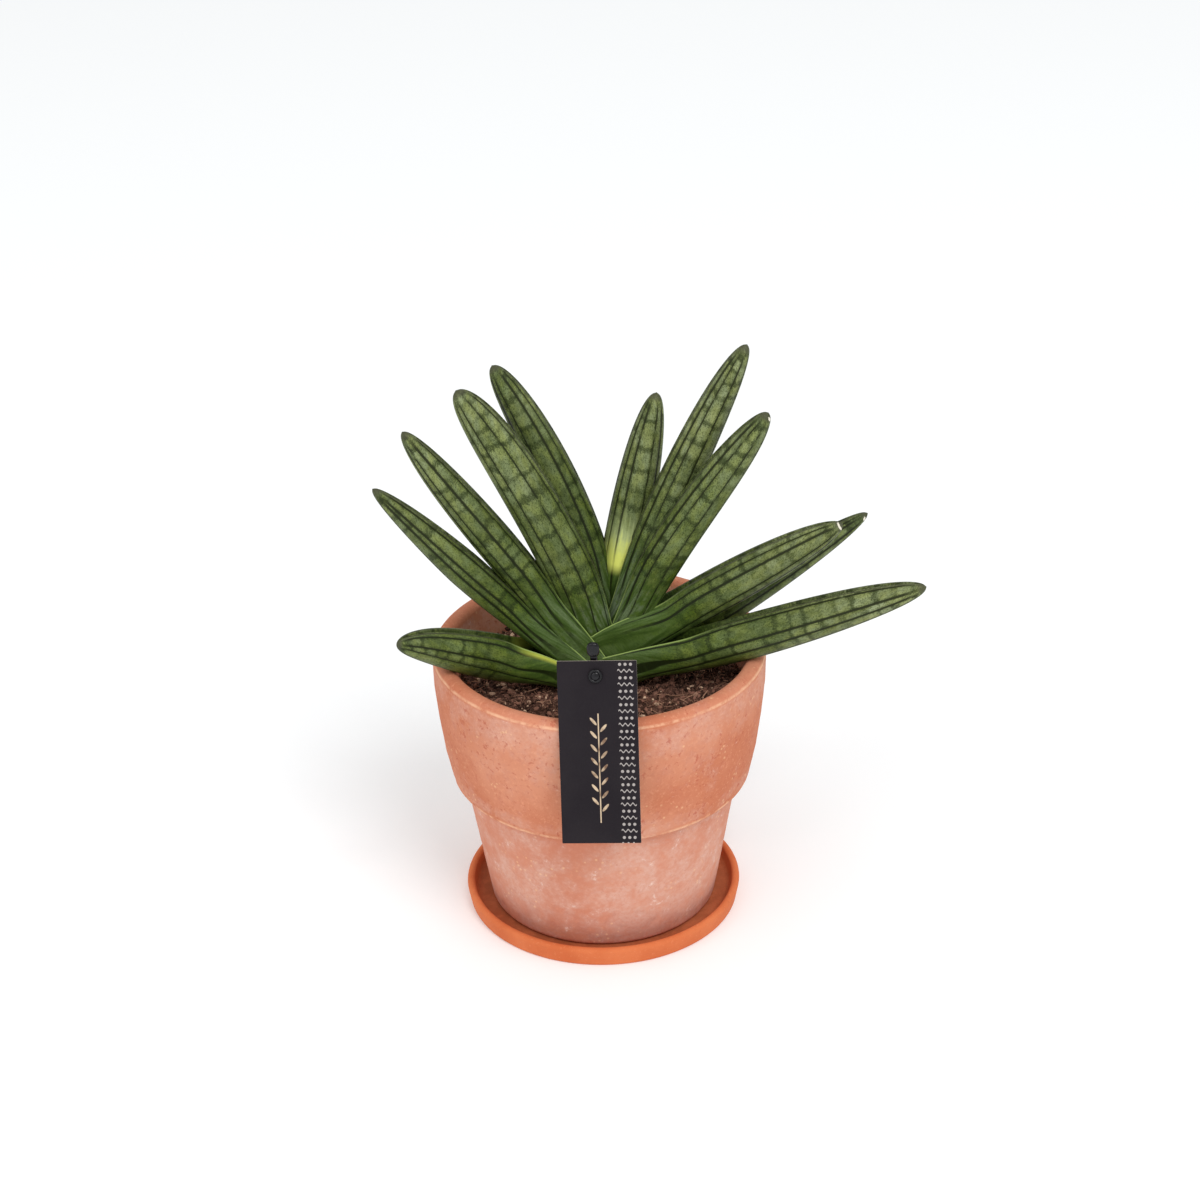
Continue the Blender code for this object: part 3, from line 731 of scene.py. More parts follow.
def leaf_material(name, skin):
    """Pale patches in lanes between dark lines, broken by dark cross bands, and plain green at the crown."""
    g = Graph(name)
    s = leaf_fields(g, skin)
    body, specks = banded_skin(g, s)
    ragged = g.add(s.from_base, g.times(g.less(s.blotch, 0.5), 26.0))
    pattern = g.ramp(ragged, skin.plain, skin.plain + GREEN_FADE)
    body = g.mix(pattern, crown_skin(g, s, skin, specks), body)
    line = dark_lines(g, s, skin, ragged)
    body = g.mix(g.times(line, 0.94), body, g.mix(s.lift, srgb(22, 30, 6), srgb(36, 40, 16)))
    if skin.youth > 0.0:
        body = add_young_foot(g, s, skin, line, body)
    if skin.yellow_foot > 0.0:
        body = add_yellow_margins(g, s, skin, body)
    body = add_rims_and_tip(g, s, body)
    if skin.scar:
        body = add_scar(g, s, skin.scar, body)
    rough = g.ramp(s.fine, 0.2, 0.8, 0.46, 0.62)
    height = g.less(g.times(s.fine, 0.35), g.times(line, 0.8))
    return g.finish(body, rough, g.bump(height, 0.00018, 0.6), Specular_IOR_Level=0.16)


def make_leaves():
    for index, (name, leaf) in enumerate(LEAVES.items(), start=1):
        make_leaf(name, leaf, index, leaf_material(name + " skin", SKINS[name]))


# Clay

def arc(centre, radius, start, end, count):
    points = []
    for i in range(count):
        angle = math.radians(start + (end - start) * i / (count - 1))
        points.append((centre[0] + radius * math.cos(angle), centre[1] + radius * math.sin(angle)))
    return points


def refined(profile, step, closed=True):
    """The profile with its long straight stretches cut into steps, so that the clay can be uneven."""
    points = []
    for (r0, z0), (r1, z1) in zip(profile, profile[1:] + (profile[:1] if closed else [])):
        count = max(1, round(math.hypot(r1 - r0, z1 - z0) / step))
        points += [(mix(r0, r1, i / count), mix(z0, z1, i / count)) for i in range(count)]
    return points if closed else points + [profile[-1]]


def turned(node, profile, uneven, look):
    """A closed body turned about Z from its profile. uneven(x, y, z) gives how far each point sinks inwards."""
    bm = bmesh.new()
    rings = []
    on_axis = [radius < 1e-6 for radius, _ in profile]
    for (radius, z), pole in zip(profile, on_axis):
        if pole:
            rings.append([bm.verts.new((0.0, 0.0, z))])
            continue
        ring = []
        for side in range(TURN_STEPS):
            angle = 2 * math.pi * side / TURN_STEPS
            x = radius * math.cos(angle)
            y = radius * math.sin(angle)
            sink = uneven(x, y, z)
            ring.append(bm.verts.new((x * (1 - sink / radius), y * (1 - sink / radius), z)))
        rings.append(ring)
    pairs = list(zip(rings, rings[1:]))
    if not on_axis[0]:
        pairs.append((rings[-1], rings[0]))
    for first, second in pairs:
        for side in range(TURN_STEPS):
            following = (side + 1) % TURN_STEPS
            corners = [first[side % len(first)], second[side % len(second)],
                       second[following % len(second)], first[following % len(first)]]
            unique = [v for i, v in enumerate(corners) if v not in corners[:i]]
            if len(unique) > 2:
                bm.faces.new(unique).smooth = True
    place_piece(bm, node, look, 60)


def inner_radius_at(z):
    return RIM_INNER_RADIUS - INNER_TAPER * (POT_HEIGHT - z)


def pot_profile():
    floor_z = POT_FOOT_Z + POT_FLOOR
    bead = 0.0016
    profile = arc((RIM_INNER_RADIUS + RIM_LIP, POT_HEIGHT - RIM_LIP), RIM_LIP, 165, 90, 9)
    profile += arc((RIM_OUTER_RADIUS - RIM_LIP, POT_HEIGHT - RIM_LIP), RIM_LIP, 90, 5, 11)[1:]
    profile += [(0.0846, 0.1310), (0.0830, 0.1140), (0.0807, 0.0960)]
    profile += arc((COLLAR_FOOT_RADIUS - bead + 0.0010, COLLAR_BOTTOM_Z + bead), bead, 0, -90, 7)
    profile += [(BODY_TOP_RADIUS + 0.0004, COLLAR_BOTTOM_Z), (BODY_TOP_RADIUS, COLLAR_BOTTOM_Z - 0.0012)]
    profile += arc((BODY_FOOT_RADIUS - 0.0030, POT_FOOT_Z + 0.0030), 0.0030, -10, -90, 7)
    profile += [(DRAIN_RADIUS, POT_FOOT_Z), (DRAIN_RADIUS, floor_z)]
    profile += [(inner_radius_at(floor_z) - POT_BEND, floor_z)]
    profile += [(inner_radius_at(floor_z + POT_BEND), floor_z + POT_BEND)]
    return refined(profile, 0.0011)


def pot_sink(x, y, z):
    """Soft dents, turning lines and a few chips: always inwards, up to 0.5 mm."""
    around = Vector((x * 18, y * 18, z * 26))
    dent = 0.5 + 0.5 * noise.noise(around)
    turn_line = 0.5 + 0.5 * noise.noise(Vector((x * 5, y * 5, z * 620)))
    grain = 0.5 + 0.5 * noise.noise(Vector((x, y, z)) * 420)
    chip = max(0.0, noise.noise(Vector((x, y, z)) * 150 + Vector((7, 3, 1))) - 0.38)
    return 0.00022 * dent + 0.00010 * turn_line + 0.00007 * grain + 0.0011 * chip


def saucer_profile():
    lip = SAUCER_WALL / 2
    inner_radius = SAUCER_RIM_RADIUS - SAUCER_WALL
    corner = 0.0015
    profile = [(0.0, SAUCER_FLOOR), (inner_radius - 0.0035, SAUCER_FLOOR)]
    profile += [(inner_radius - 0.0016, SAUCER_FLOOR + 0.0004), (inner_radius - 0.0010, SAUCER_FLOOR + 0.0012)]
    profile += arc((SAUCER_RIM_RADIUS - lip, SAUCER_HEIGHT - lip), lip, 180, 0, 13)
    profile += arc((SAUCER_FOOT_RADIUS - corner + 0.0010, corner), corner, 0, -90, 6)
    profile += [(0.0, 0.0)]
    return refined(profile, 0.0030, closed=False)


def saucer_sink(x, y, z):
    return 0.00012 * (0.5 + 0.5 * noise.noise(Vector((x * 30, y * 30, z * 60))))


def pot_material():
    """Weathered terracotta with red and pale specks and an uneven pinkish bloom, thickest on the body, and a
    paler band on the collar's foot and pale lines on the step and the rim's lip, which are partly painted
    highlight.
    """
    g = Graph("chalky terracotta")
    at = g.place()
    x, y, z = g.split(at)
    haze = g.noise(at, 16.0, 3.0, 0.55)
    cloud = g.noise(at, 42.0, 5.0, 0.65)
    patch = g.noise(at, 115.0, 6.0, 0.75, 0.3)
    grain = g.noise(at, 520.0, 4.0, 0.7)
    turning = g.noise(g.vector(g.times(x, 14.0), g.times(y, 14.0), g.times(z, 210.0)), 1.0, 3.0, 0.6)

    clay = g.mix(g.ramp(haze, 0.35, 0.65), srgb(198, 120, 88), srgb(212, 142, 112))
    clay = g.mix(g.times(g.ramp(patch, 0.45, 0.68), 0.50), clay, srgb(190, 108, 80))
    clay = g.mix(g.times(g.ramp(grain, 0.50, 0.72), 0.45), clay, srgb(230, 164, 130))

    body = g.fall(z, 0.070, 0.080)
    near_rim = g.between(z, 0.120, 0.142, 0.1450, 0.1475)
    # collar_foot adds pale bloom on the bead at the collar's foot. This is partly bloom and partly a painted
    # highlight on the bulge
    collar_foot = g.between(z, 0.0800, 0.0830, 0.0850, 0.0930)
    cover = g.add(g.add(g.times(body, 0.10), g.times(near_rim, 0.15)), g.times(g.less(haze, 0.5), 0.25))
    clay = g.mix(g.times(body, 0.45), clay, srgb(212, 144, 122))
    cover = g.add(g.times(patch, 0.5), g.add(cover, g.times(collar_foot, 0.10)))
    bloom = g.ramp(g.add(g.times(cloud, 0.5), cover), 0.48, 0.74)
    bloom = g.times(bloom, g.ramp(grain, 0.25, 0.60, 0.45, 1.0))
    clay = g.mix(g.times(bloom, g.add(0.45, g.times(body, 0.30))), clay, srgb(222, 182, 166))
    crust = g.ramp(g.add(patch, g.times(body, 0.05)), 0.64, 0.72)
    clay = g.mix(g.times(crust, g.ramp(grain, 0.4, 0.6), 0.55), clay, srgb(242, 218, 204))

    foot = g.times(g.fall(z, 0.012, 0.034), g.ramp(cloud, 0.35, 0.60))
    clay = g.mix(g.times(foot, 0.40), clay, srgb(172, 98, 82))
    red = g.times(g.ramp(g.noise(at, 330.0, 3.0, 0.7), 0.56, 0.66), g.ramp(cloud, 0.38, 0.56))
    red = g.times(red, g.less(0.60, g.times(body, 0.42)))
    clay = g.mix(red, clay, srgb(180, 90, 68))
    pit = g.times(g.fall(g.cells(at, 300.0), 0.14, 0.26), g.ramp(g.noise(at, 60.0, 2.0), 0.52, 0.62))
    clay = g.mix(g.times(pit, 0.38), clay, srgb(246, 206, 160))

    # Pale lines along the step under the collar and the rim's outer lip: partly worn clay and partly a painted
    # highlight where the edges turn to the light. The worn noise breaks them up
    worn = g.ramp(g.noise(at, 120.0, 4.0, 0.7), 0.32, 0.62)
    step = g.between(z, 0.0780, 0.0790, 0.0798, 0.0812)
    lip = g.between(z, 0.1463, 0.1470, 0.1474, 0.1484)
    lip = g.times(lip, g.ramp(g.length(x, y), 0.0815, 0.0828))
    edges = g.times(g.math("MAXIMUM", step, lip), worn)
    clay = g.mix(g.times(edges, 0.65), clay, srgb(244, 196, 160))
    rough = g.ramp(grain, 0.3, 0.7, 0.82, 0.96)
    height = g.add(g.times(grain, 0.6), g.add(g.times(turning, 0.25), g.times(patch, 0.5)))
    return g.finish(clay, rough, g.bump(height, 0.00040, 0.8), Specular_IOR_Level=0.18)


def saucer_material():
    """Cleaner and more orange clay than the pot's, with a fine grain and faint stains, and painted shade on its
    floor round the pot's foot.
    """
    g = Graph("saucer clay")
    at = g.place()
    cloud = g.noise(at, 30.0, 4.0, 0.6)
    grain = g.noise(at, 800.0, 3.0, 0.6)
    stain = g.noise(at, 90.0, 5.0, 0.7)
    clay = g.mix(g.ramp(cloud, 0.3, 0.7), srgb(206, 106, 60), srgb(220, 124, 76))
    clay = g.mix(g.times(g.ramp(grain, 0.55, 0.75), 0.3), clay, srgb(234, 158, 118))
    clay = g.mix(g.times(g.ramp(stain, 0.58, 0.70), 0.25), clay, srgb(184, 92, 56))
    x, y, z = g.split(at)
    # Painted shade: darker brown on the saucer's floor round the pot's foot, made uneven by the stain noise
    floor_shade = g.times(g.fall(g.length(x, y), 0.0655, 0.0690), g.ramp(z, 0.0030, 0.0038))
    shaded_clay = g.mix(g.ramp(stain, 0.4, 0.6), srgb(104, 54, 36), srgb(146, 80, 54))
    clay = g.mix(g.times(floor_shade, 0.55), clay, shaded_clay)
    rough = g.ramp(grain, 0.3, 0.7, 0.72, 0.9)
    return g.finish(clay, rough, g.bump(grain, 0.0002, 0.5), Specular_IOR_Level=0.25)


# Soil

def soil_height(x, y):
    """Coarse and fine lumps of the soil's surface."""
    away = ease(math.hypot(x, y) / 0.045)
    coarse = noise.noise(Vector((x * 60, y * 60, 1.0)))
    fine = noise.noise(Vector((x * 300, y * 300, 4.0)))
    finer = noise.noise(Vector((x * 900, y * 900, 2.0)))
    return SOIL_Z - 0.0006 + 0.0020 * coarse * away + 0.0015 * fine + 0.0007 * finer


def crumb_form():
    """The points and faces of a rough ball, which each crumb is a bent copy of."""
    bm = bmesh.new()
    bmesh.ops.create_icosphere(bm, subdivisions=1, radius=1.0)
    points = [vert.co.copy() for vert in bm.verts]
    faces = [[vert.index for vert in face.verts] for face in bm.faces]
    bm.free()
    return points, faces


def add_crumb(points, faces, form, draw, centre, size):
    axis = Vector((draw.gauss(0, 1), draw.gauss(0, 1), draw.gauss(0, 1)))
    turn = Matrix.Rotation(draw.uniform(0, 6.3), 3, axis)
    stretch = Vector((draw.uniform(0.6, 1.5), draw.uniform(0.6, 1.2), draw.uniform(0.4, 0.9))) * size
    first = len(points)
    for point in form[0]:
        points.append(centre + turn @ (point * stretch) * (1 + draw.uniform(-0.22, 0.22)))
    faces += [[first + corner for corner in face] for face in form[1]]


def add_fibre(points, faces, draw, centre, length, radius):
    """A bent coir fibre of triangular section, lying on the soil."""
    heading = draw.uniform(0, 2 * math.pi)
    bend = draw.uniform(-1.4, 1.4)
    pitch = draw.uniform(-0.30, 0.45)
    point = centre
    steps = 4
    first = len(points)
    for step in range(steps + 1):
        level = math.cos(pitch)
        along = Vector((math.cos(heading) * level, math.sin(heading) * level, math.sin(pitch)))
        side = along.cross(Vector((0, 0, 1))).normalized()
        up = side.cross(along)
        size = radius * (1.0 if 0 < step < steps else 0.55)
        points += [point + (side * math.cos(angle) + up * math.sin(angle)) * size for angle in (0.0, 2.1, 4.2)]
        point = point + along * (length / steps)
        heading += bend / steps
        pitch -= 0.25 / steps
    for step in range(steps):
        low = first + 3 * step
        faces += [[low + i, low + (i + 1) % 3, low + 3 + (i + 1) % 3, low + 3 + i] for i in range(3)]
    faces.append([first, first + 1, first + 2])
    faces.append([first + 3 * steps + i for i in (2, 1, 0)])


def circle(radius, height):
    """Points round the pot's axis. height(x, y) gives how high each one lies."""
    points = []
    for side in range(SOIL_SIDES):
        angle = 2 * math.pi * side / SOIL_SIDES
        x = radius * math.cos(angle)
        y = radius * math.sin(angle)
        points.append(Vector((x, y, height(x, y))))
    return points


def soil_body():
    """The points and faces of the filling: its lumpy surface from the middle out, its side and its floor."""
    points = [Vector((0.0, 0.0, soil_height(0.0, 0.0)))]
    for ring in range(1, SOIL_RINGS + 1):
        radius = SOIL_EDGE_RADIUS * ring / SOIL_RINGS
        droop = SOIL_DROOP * ease((radius - SOIL_EDGE_RADIUS + SOIL_DROOP_WIDTH) / SOIL_DROOP_WIDTH)
        points += circle(radius, lambda x, y: soil_height(x, y) - droop)
    floor_z = POT_FOOT_Z + POT_FLOOR + GAP
    bend_z = floor_z + POT_BEND
    for radius, z in ((inner_radius_at(0.118) - SOIL_SIDE_GAP, 0.118),
                      (inner_radius_at(bend_z) - SOIL_SIDE_GAP, bend_z),
                      (inner_radius_at(floor_z) - POT_BEND - SOIL_SIDE_GAP, floor_z)):
        points += circle(radius, lambda x, y: z)
    rows = (len(points) - 1) // SOIL_SIDES
    faces = []
    for side in range(SOIL_SIDES):
        after = (side + 1) % SOIL_SIDES
        faces.append([0, 1 + side, 1 + after])
        for row in range(rows - 1):
            inner = 1 + row * SOIL_SIDES
            outer = inner + SOIL_SIDES
            faces.append([inner + side, outer + side, outer + after, inner + after])
    faces.append([1 + (rows - 1) * SOIL_SIDES + side for side in reversed(range(SOIL_SIDES))])
    return points, faces


def random_place(draw, reach):
    """A random x and y on the soil, within reach of the pot's axis."""
    radius = reach * math.sqrt(draw.random())
    angle = draw.uniform(0, 2 * math.pi)
    return radius * math.cos(angle), radius * math.sin(angle)


def make_soil():
    """The soil with its crumbs and fibres. The layer kind is 0 on the earth, 1 on crumbs and 2 on fibres."""
    points, faces = soil_body()
    kinds = [0.0] * len(faces)
    draw = random.Random(7)
    form = crumb_form()
    for _ in range(CRUMBS):
        x, y = random_place(draw, SOIL_EDGE_RADIUS - CRUMB_MARGIN)
        size = SMALLEST_CRUMB + CRUMB_GROWTH * draw.random() ** 2.4
        add_crumb(points, faces, form, draw, Vector((x, y, soil_height(x, y) + size * 0.25)), size)
    kinds += [1.0] * (len(faces) - len(kinds))
    for _ in range(FIBRES):
        x, y = random_place(draw, SOIL_EDGE_RADIUS - FIBRE_MARGIN)
        centre = Vector((x, y, soil_height(x, y) + 0.0004))
        add_fibre(points, faces, draw, centre, draw.uniform(*FIBRE_LENGTHS), draw.uniform(*FIBRE_RADII))
    kinds += [2.0] * (len(faces) - len(kinds))
    mesh = bpy.data.meshes.new("soil")
    mesh.from_pydata(points, [], faces)
    layer = mesh.uv_layers.new(name="kind")
    for polygon, kind in zip(mesh.polygons, kinds):
        for corner in polygon.loop_indices:
            layer.data[corner].uv = (kind, 0.0)
    place_mesh(mesh, "soil", soil_material())


def soil_material():
    """Dark earth, with crumbs from black to beige and light brown fibres on it."""
    g = Graph("moist potting soil")
    at = g.place()
    kind, _ = g.layer("kind")
    cloud = g.noise(at, 130.0, 4.0, 0.7)
    grain = g.noise(at, 1100.0, 3.0, 0.7)
    bit = g.tree.nodes.new("ShaderNodeNewGeometry").outputs["Random Per Island"]
    earth = g.mix(g.ramp(cloud, 0.35, 0.62), srgb(34, 20, 15), srgb(92, 62, 52))
    crumb = g.mix(g.ramp(bit, 0.10, 0.80), srgb(40, 24, 18), srgb(144, 102, 86))
    crumb = g.mix(g.ramp(bit, 0.86, 0.95), crumb, srgb(228, 194, 164))
    fibre = g.mix(g.ramp(bit, 0.20, 0.90), srgb(76, 50, 40), srgb(172, 130, 106))
    look = g.mix(g.ramp(kind, 0.4, 0.6), earth, crumb)
    look = g.mix(g.ramp(kind, 1.4, 1.6), look, fibre)
    look = g.mix(g.times(g.ramp(grain, 0.46, 0.70), 0.45), look, srgb(176, 134, 112))
    return g.finish(look, 0.92, g.bump(grain, 0.0004, 0.8), Specular_IOR_Level=0.12)


# Label card and its stake

def card_frame():
    """The card's place: the middle of its top edge, then its right, up and front directions."""
    right = Vector((math.cos(CARD_TURN), math.sin(CARD_TURN), 0.0))
    back = Vector((-math.sin(CARD_TURN), math.cos(CARD_TURN), 0.0))
    up = back * math.sin(CARD_LEAN) + Vector((0.0, 0.0, math.cos(CARD_LEAN)))
    front = right.cross(up)
    rim_middle = back * (RIM_LIP - RIM_OUTER_RADIUS) + Vector((0.0, 0.0, POT_HEIGHT - RIM_LIP))
    rest = rim_middle + front * (RIM_LIP + GAP + CARD_THICKNESS / 2)
    rest += right * ((CARD_CENTRE_X - rest.x) / right.x)
    top = rest + up * ((CARD_TOP_Z - rest.z) / up.z)
    rolled_right = right * math.cos(CARD_ROLL) + up * math.sin(CARD_ROLL)
    rolled_up = up * math.cos(CARD_ROLL) - right * math.sin(CARD_ROLL)
    return top, rolled_right, rolled_up, front


def make_card():
    """The card with its round hole. Its layer print is in millimetres from the middle of the top edge, -60
    on the back and -120 on the cut edge."""
    top, right, up, front = card_frame()
    side = CARD_WIDTH / 2 - CARD_CORNER
    low = CARD_CORNER - CARD_HEIGHT
    outline = []
    high = -CARD_CORNER
    for x, y, end in ((side, high, 90), (-side, high, 180), (-side, low, 270), (side, low, 360)):
        outline += arc((x, y), CARD_CORNER, end - 90, end, 4)
    hole = arc((CARD_HOLE_X, -CARD_HOLE_DROP), CARD_HOLE_RADIUS, 360, 0, 33)[:-1]
    flat = [Vector((x, y, 0.0)) for x, y in outline + hole]
    faces = geometry.tessellate_polygon([flat[:len(outline)], flat[len(outline):]])
    bm = bmesh.new()
    layer = bm.loops.layers.uv.new("print")
    sheets = []
    for face in (0.5, -0.5):
        shift = top + front * (CARD_THICKNESS * face)
        sheets.append([bm.verts.new(shift + right * p.x + up * p.y) for p in flat])
    for corners in faces:
        printed = bm.faces.new([sheets[0][i] for i in corners])
        for loop, i in zip(printed.loops, corners):
            loop[layer].uv = (flat[i].x * MM, -flat[i].y * MM)
        bare = bm.faces.new([sheets[1][i] for i in reversed(corners)])
        for loop in bare.loops:
            loop[layer].uv = (-60.0, 0.0)
    for first, count in ((0, len(outline)), (len(outline), len(hole))):
        for i in range(count):
            here = first + i
            after = first + (i + 1) % count
            rim = bm.faces.new((sheets[0][here], sheets[1][here], sheets[1][after], sheets[0][after]))
            for loop in rim.loops:
                loop[layer].uv = (-120.0, 0.0)
    place_piece(bm, "tag", card_material(), 40)


def sprig(g, across, down):
    """A plain sprig: a straight stem with slanting leaflets, which stand half a step apart on its two sides."""
    side = g.math("GREATER_THAN", across, 0.0)
    shifted = g.add(down, g.times(side, SPRIG_STEP / 2))
    pair = g.less(g.math("FLOOR", g.math("DIVIDE", shifted, SPRIG_STEP)), side)
    present = g.times(g.math("GREATER_THAN", pair, SPRIG_FIRST - 0.5),
                      g.math("LESS_THAN", pair, SPRIG_LAST + 0.5))
    dx = g.less(g.math("ABSOLUTE", across), LEAFLET_HALF_LENGTH)
    dy = g.less(g.math("MODULO", shifted, SPRIG_STEP), SPRIG_STEP / 2)
    long_way = g.add(g.times(dx, math.cos(SPRIG_TILT)), g.times(dy, -math.sin(SPRIG_TILT)))
    short_way = g.add(g.times(dx, math.sin(SPRIG_TILT)), g.times(dy, math.cos(SPRIG_TILT)))
    leaflet = g.oval(long_way, short_way, LEAFLET_HALF_LENGTH, LEAFLET_HALF_WIDTH)
    leaflet = g.times(g.fall(leaflet, 0.85, 1.10), present)
    span = g.between(down, SPRIG_TOP - 0.3, SPRIG_TOP, SPRIG_END, SPRIG_END + 0.3)
    stem = g.times(g.fall(g.math("ABSOLUTE", across), 0.20, 0.38), span)
    return g.math("MAXIMUM", stem, leaflet)


def border(g, across, down):
    """A strip of dots and waves in turn."""
    row = g.math("MODULO", down, BORDER_STEP)
    from_middle = g.less(across, BORDER_MIDDLE)
    column = g.math("PINGPONG", g.add(from_middle, BORDER_HALF), MOTIF_WIDTH / 2)
    dot = g.fall(g.length(g.less(MOTIF_WIDTH / 2, column), g.less(row, 1.8)), 0.62, 0.86)
    wave = g.times(g.math("SINE", g.times(from_middle, 2.0 * math.pi / MOTIF_WIDTH)), 0.60)
    wave = g.fall(g.math("ABSOLUTE", g.less(g.less(row, 5.0), wave)), 0.22, 0.44)
    strip = g.fall(g.math("ABSOLUTE", from_middle), BORDER_HALF - 0.2, BORDER_HALF)
    return g.times(g.math("MAXIMUM", dot, wave), strip)


def card_material():
    """Dark card with a pale core, a plain gold sprig and a plain border."""
    g = Graph("printed card")
    at = g.place()
    across, down = g.layer("print")
    fibre = g.noise(at, 700.0, 4.0, 0.7)
    cloud = g.noise(at, 40.0, 3.0)
    worn = g.noise(at, 1500.0, 2.0)
    card = g.mix(g.ramp(cloud, 0.3, 0.7), srgb(30, 25, 30), srgb(36, 31, 35))
    card = g.mix(g.times(g.ramp(fibre, 0.55, 0.75), 0.35), card, srgb(50, 44, 48))
    foil = g.times(sprig(g, across, down), g.ramp(worn, 0.25, 0.40, 0.55, 1.0))
    gold = g.mix(g.ramp(g.noise(at, 160.0, 2.0), 0.35, 0.65), srgb(124, 94, 74), srgb(216, 192, 162))
    card = g.mix(g.times(foil, 0.92), card, gold)
    printed = g.times(border(g, across, down), g.ramp(worn, 0.25, 0.45, 0.5, 1.0))
    card = g.mix(g.times(printed, 0.85), card, srgb(184, 176, 172))
    core = g.math("LESS_THAN", across, -100.0)
    card = g.mix(core, card, g.mix(fibre, srgb(150, 138, 132), srgb(186, 174, 168)))
    rough = g.ramp(fibre, 0.3, 0.7, 0.62, 0.8)
    return g.finish(card, rough, g.bump(fibre, 0.00006, 0.5), Specular_IOR_Level=0.16)


def rounded_body(bm, centre, right, up, front, size, power=2.0):
    """A closed body about centre, from a ball pressed to size along the three directions. A power over 2
    makes it squarer."""
    made = bmesh.ops.create_uvsphere(bm, u_segments=28, v_segments=16, radius=1.0)
    for vert in made["verts"]:
        x, y, z = (math.copysign(abs(value) ** (2 / power), value) for value in vert.co)
        vert.co = centre + right * (x * size[0]) + up * (y * size[1]) + front * (z * size[2])


def ring_body(bm, centre, right, up, front, radius, thickness):
    """A closed ring with a round section."""
    turns = 36
    sides = 12
    rings = []
    for i in range(turns):
        angle = 2 * math.pi * i / turns
        out = right * math.cos(angle) + up * math.sin(angle)
        ring = []
        for k in range(sides):
            turn = 2 * math.pi * k / sides
            reach = out * (radius + thickness * math.cos(turn))
            ring.append(bm.verts.new(centre + reach + front * (thickness * math.sin(turn))))
        rings.append(ring)
    for i in range(turns):
        after = rings[(i + 1) % turns]
        for k in range(sides):
            bm.faces.new((rings[i][k], after[k], after[(k + 1) % sides], rings[i][(k + 1) % sides]))


def make_stake():
    """A black stake: a thin neck with a rounded knob above the card, a bar in the soil, and a headed pin."""
    top, card_right, card_up, front = card_frame()
    hole = top + card_right * CARD_HOLE_X - card_up * CARD_HOLE_DROP
    right = Vector((math.cos(CARD_TURN), math.sin(CARD_TURN), 0.0))
    back = Vector((-math.sin(CARD_TURN), math.cos(CARD_TURN), 0.0))
    up = Vector((0.0, 0.0, math.cos(STAKE_LEAN))) - back * math.sin(STAKE_LEAN)
    forward = right.cross(up)
    middle = hole + back * STAKE_SETBACK
    peak = (STAKE_TOP_Z - middle.z) / up.z
    foot = (STAKE_FOOT_Z - middle.z) / up.z
    knob_height = peak - STAKE_KNOB_SIZE[1]

    bm = bmesh.new()
    knob = middle + right * STAKE_KNOB_SHIFT + up * knob_height
    rounded_body(bm, knob, right, up, forward, STAKE_KNOB_SIZE, 2.6)
    half_bar = STAKE_WIDTH / 2
    half_neck = STAKE_NECK / 2
    stations_up = ((foot, 0.0002, 0.0), (foot + STAKE_POINT, half_bar, 0.0), (-0.0060, half_bar, 0.0),
                   (-0.0020, half_bar, 0.0), (0.0010, half_neck, STAKE_KNOB_SHIFT * 0.5),
                   (knob_height, half_neck, STAKE_KNOB_SHIFT))
    rings = []
    for height, half, shift in stations_up:
        ring = []
        for x, z in STAKE_SECTION:
            ring.append(bm.verts.new(middle + right * (x * half + shift) + up * height
                                     + forward * (z * STAKE_THICKNESS / 2)))
        rings.append(ring)
    count = len(STAKE_SECTION)
    for low, high in zip(rings, rings[1:]):
        for i in range(count):
            bm.faces.new((low[i], low[(i + 1) % count], high[(i + 1) % count], high[i]))
    bm.faces.new(rings[0])
    bm.faces.new(rings[-1])

    head_back = hole + front * (CARD_THICKNESS / 2 + GAP)
    head_middle = head_back + front * PIN_HEAD[2]
    rounded_body(bm, head_middle, card_right, card_up, front, PIN_HEAD)
    ring_middle = head_back + front * PIN_RING_THICKNESS
    ring_body(bm, ring_middle, card_right, card_up, front, PIN_RING_RADIUS, PIN_RING_THICKNESS)
    shaft_back = hole - front * STAKE_SETBACK
    shaft = (PIN_SHAFT_RADIUS, PIN_SHAFT_RADIUS, (head_middle - shaft_back).length / 2)
    rounded_body(bm, (head_back + shaft_back) / 2, card_right, card_up, front, shaft, 6.0)
    for face in bm.faces:
        face.smooth = True
    place_piece(bm, "tag_stake", stake_material(), 40)


def stake_material():
    g = Graph("black plastic")
    at = g.place()
    scuff = g.noise(at, 380.0, 4.0, 0.7)
    plastic = g.mix(g.ramp(scuff, 0.45, 0.75), srgb(8, 7, 11), srgb(24, 22, 28))
    rough = g.ramp(scuff, 0.3, 0.7, 0.18, 0.34)
    return g.finish(plastic, rough, g.bump(scuff, 0.00006, 0.4), Specular_IOR_Level=0.35)


# Camera and studio

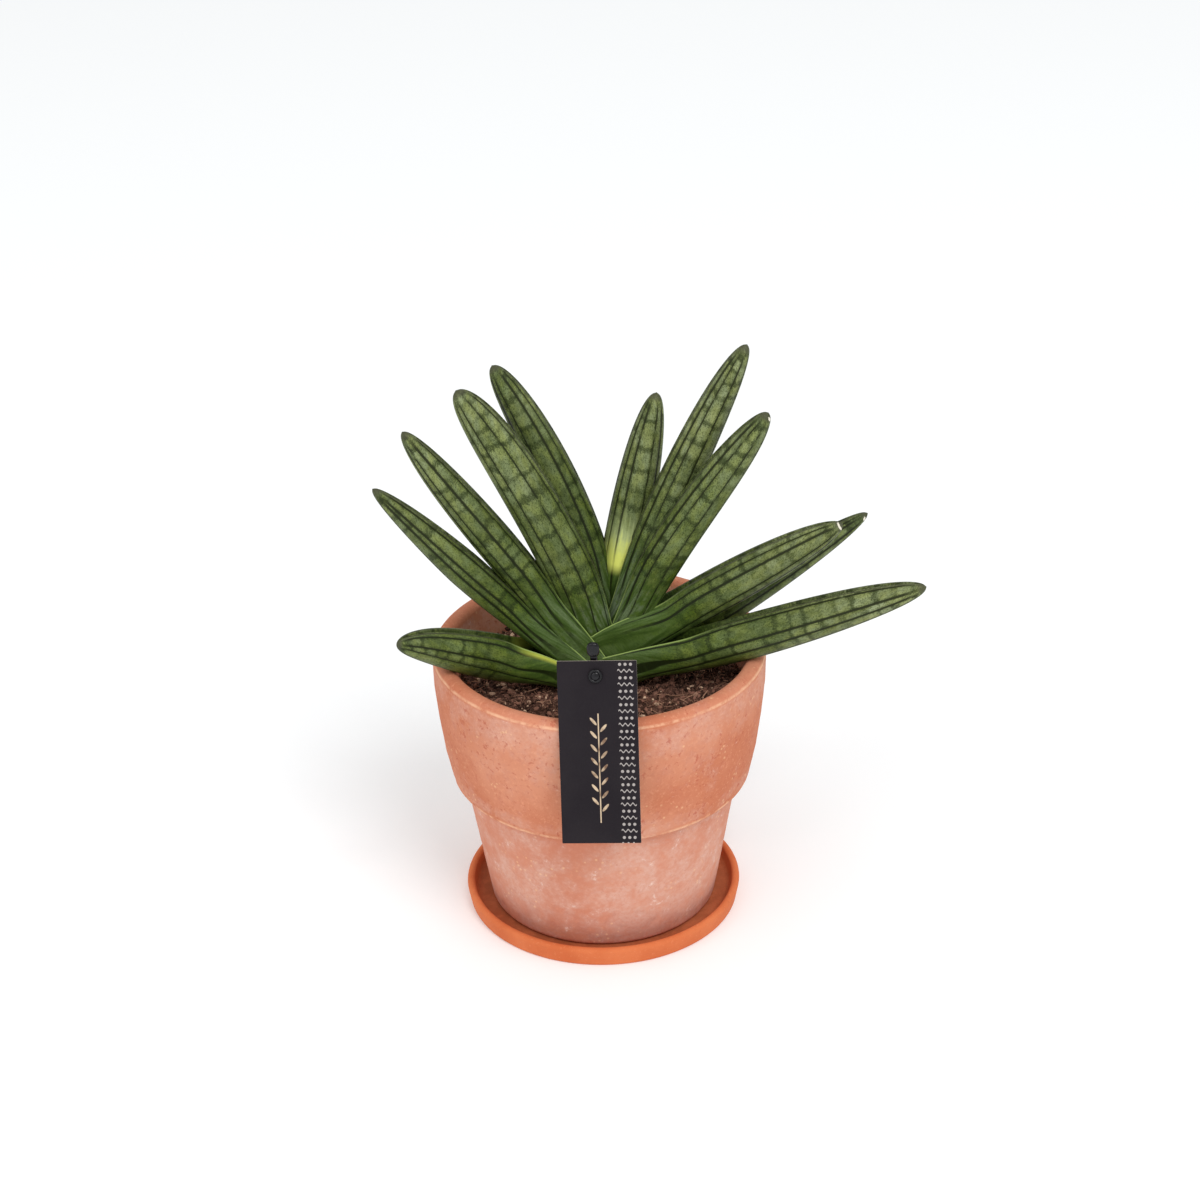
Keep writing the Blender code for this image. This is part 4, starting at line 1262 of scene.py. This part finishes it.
def make_camera():
    data = bpy.data.cameras.new("camera")
    data.lens = LENS_MM
    data.sensor_width = SENSOR_MM
    data.clip_start = 0.05
    data.clip_end = 60.0
    camera = bpy.data.objects.new("camera", data)
    bpy.context.scene.collection.objects.link(camera)
    level_reach = math.cos(CAMERA_PITCH)
    ahead = Vector((math.sin(CAMERA_YAW) * level_reach, math.cos(CAMERA_YAW) * level_reach,
                    -math.sin(CAMERA_PITCH)))
    level = Vector((math.cos(CAMERA_YAW), -math.sin(CAMERA_YAW), 0.0))
    above = level.cross(ahead)
    right = level * math.cos(CAMERA_ROLL) + above * math.sin(CAMERA_ROLL)
    up = above * math.cos(CAMERA_ROLL) - level * math.sin(CAMERA_ROLL)
    turn = Matrix((right, up, -ahead)).transposed().to_4x4()
    camera.matrix_world = Matrix.Translation(CAMERA_PLACE) @ turn
    bpy.context.scene.camera = camera


def area_light(name, place, size, power):
    data = bpy.data.lights.new(name, "AREA")
    data.shape = "DISK"
    data.size = size
    data.energy = power
    light = bpy.data.objects.new(name, data)
    light.location = place
    light.rotation_euler = (Vector((0, 0, 0.12)) - Vector(place)).to_track_quat("-Z", "Y").to_euler()
    bpy.context.scene.collection.objects.link(light)


def make_studio():
    bpy.context.scene.view_settings.view_transform = "Standard"
    bm = bmesh.new()
    bmesh.ops.create_grid(bm, x_segments=1, y_segments=1, size=9.0)
    mesh = bpy.data.meshes.new("floor")
    bm.to_mesh(mesh)
    bm.free()
    g = Graph("studio floor")
    mesh.materials.append(g.finish(srgb(246, 248, 249), 0.9, Specular_IOR_Level=0.0,
                                   Emission_Color=srgb(255, 255, 255), Emission_Strength=0.10))
    floor = bpy.data.objects.new("floor", mesh)
    bpy.context.scene.collection.objects.link(floor)
    world = bpy.data.worlds.new("studio")
    world.use_nodes = True
    world.node_tree.nodes["Background"].inputs["Color"].default_value = (1.0, 1.0, 1.0, 1.0)
    world.node_tree.nodes["Background"].inputs["Strength"].default_value = 0.70
    bpy.context.scene.world = world
    area_light("key", (1.4, -2.7, 4.1), 2.4, 100.0)
    area_light("fill", (-2.7, -2.7, 3.1), 3.4, 38.0)


make_camera()
make_studio()
make_leaves()
turned("pot", pot_profile(), pot_sink, pot_material())
turned("saucer", saucer_profile(), saucer_sink, saucer_material())
make_soil()
make_card()
make_stake()
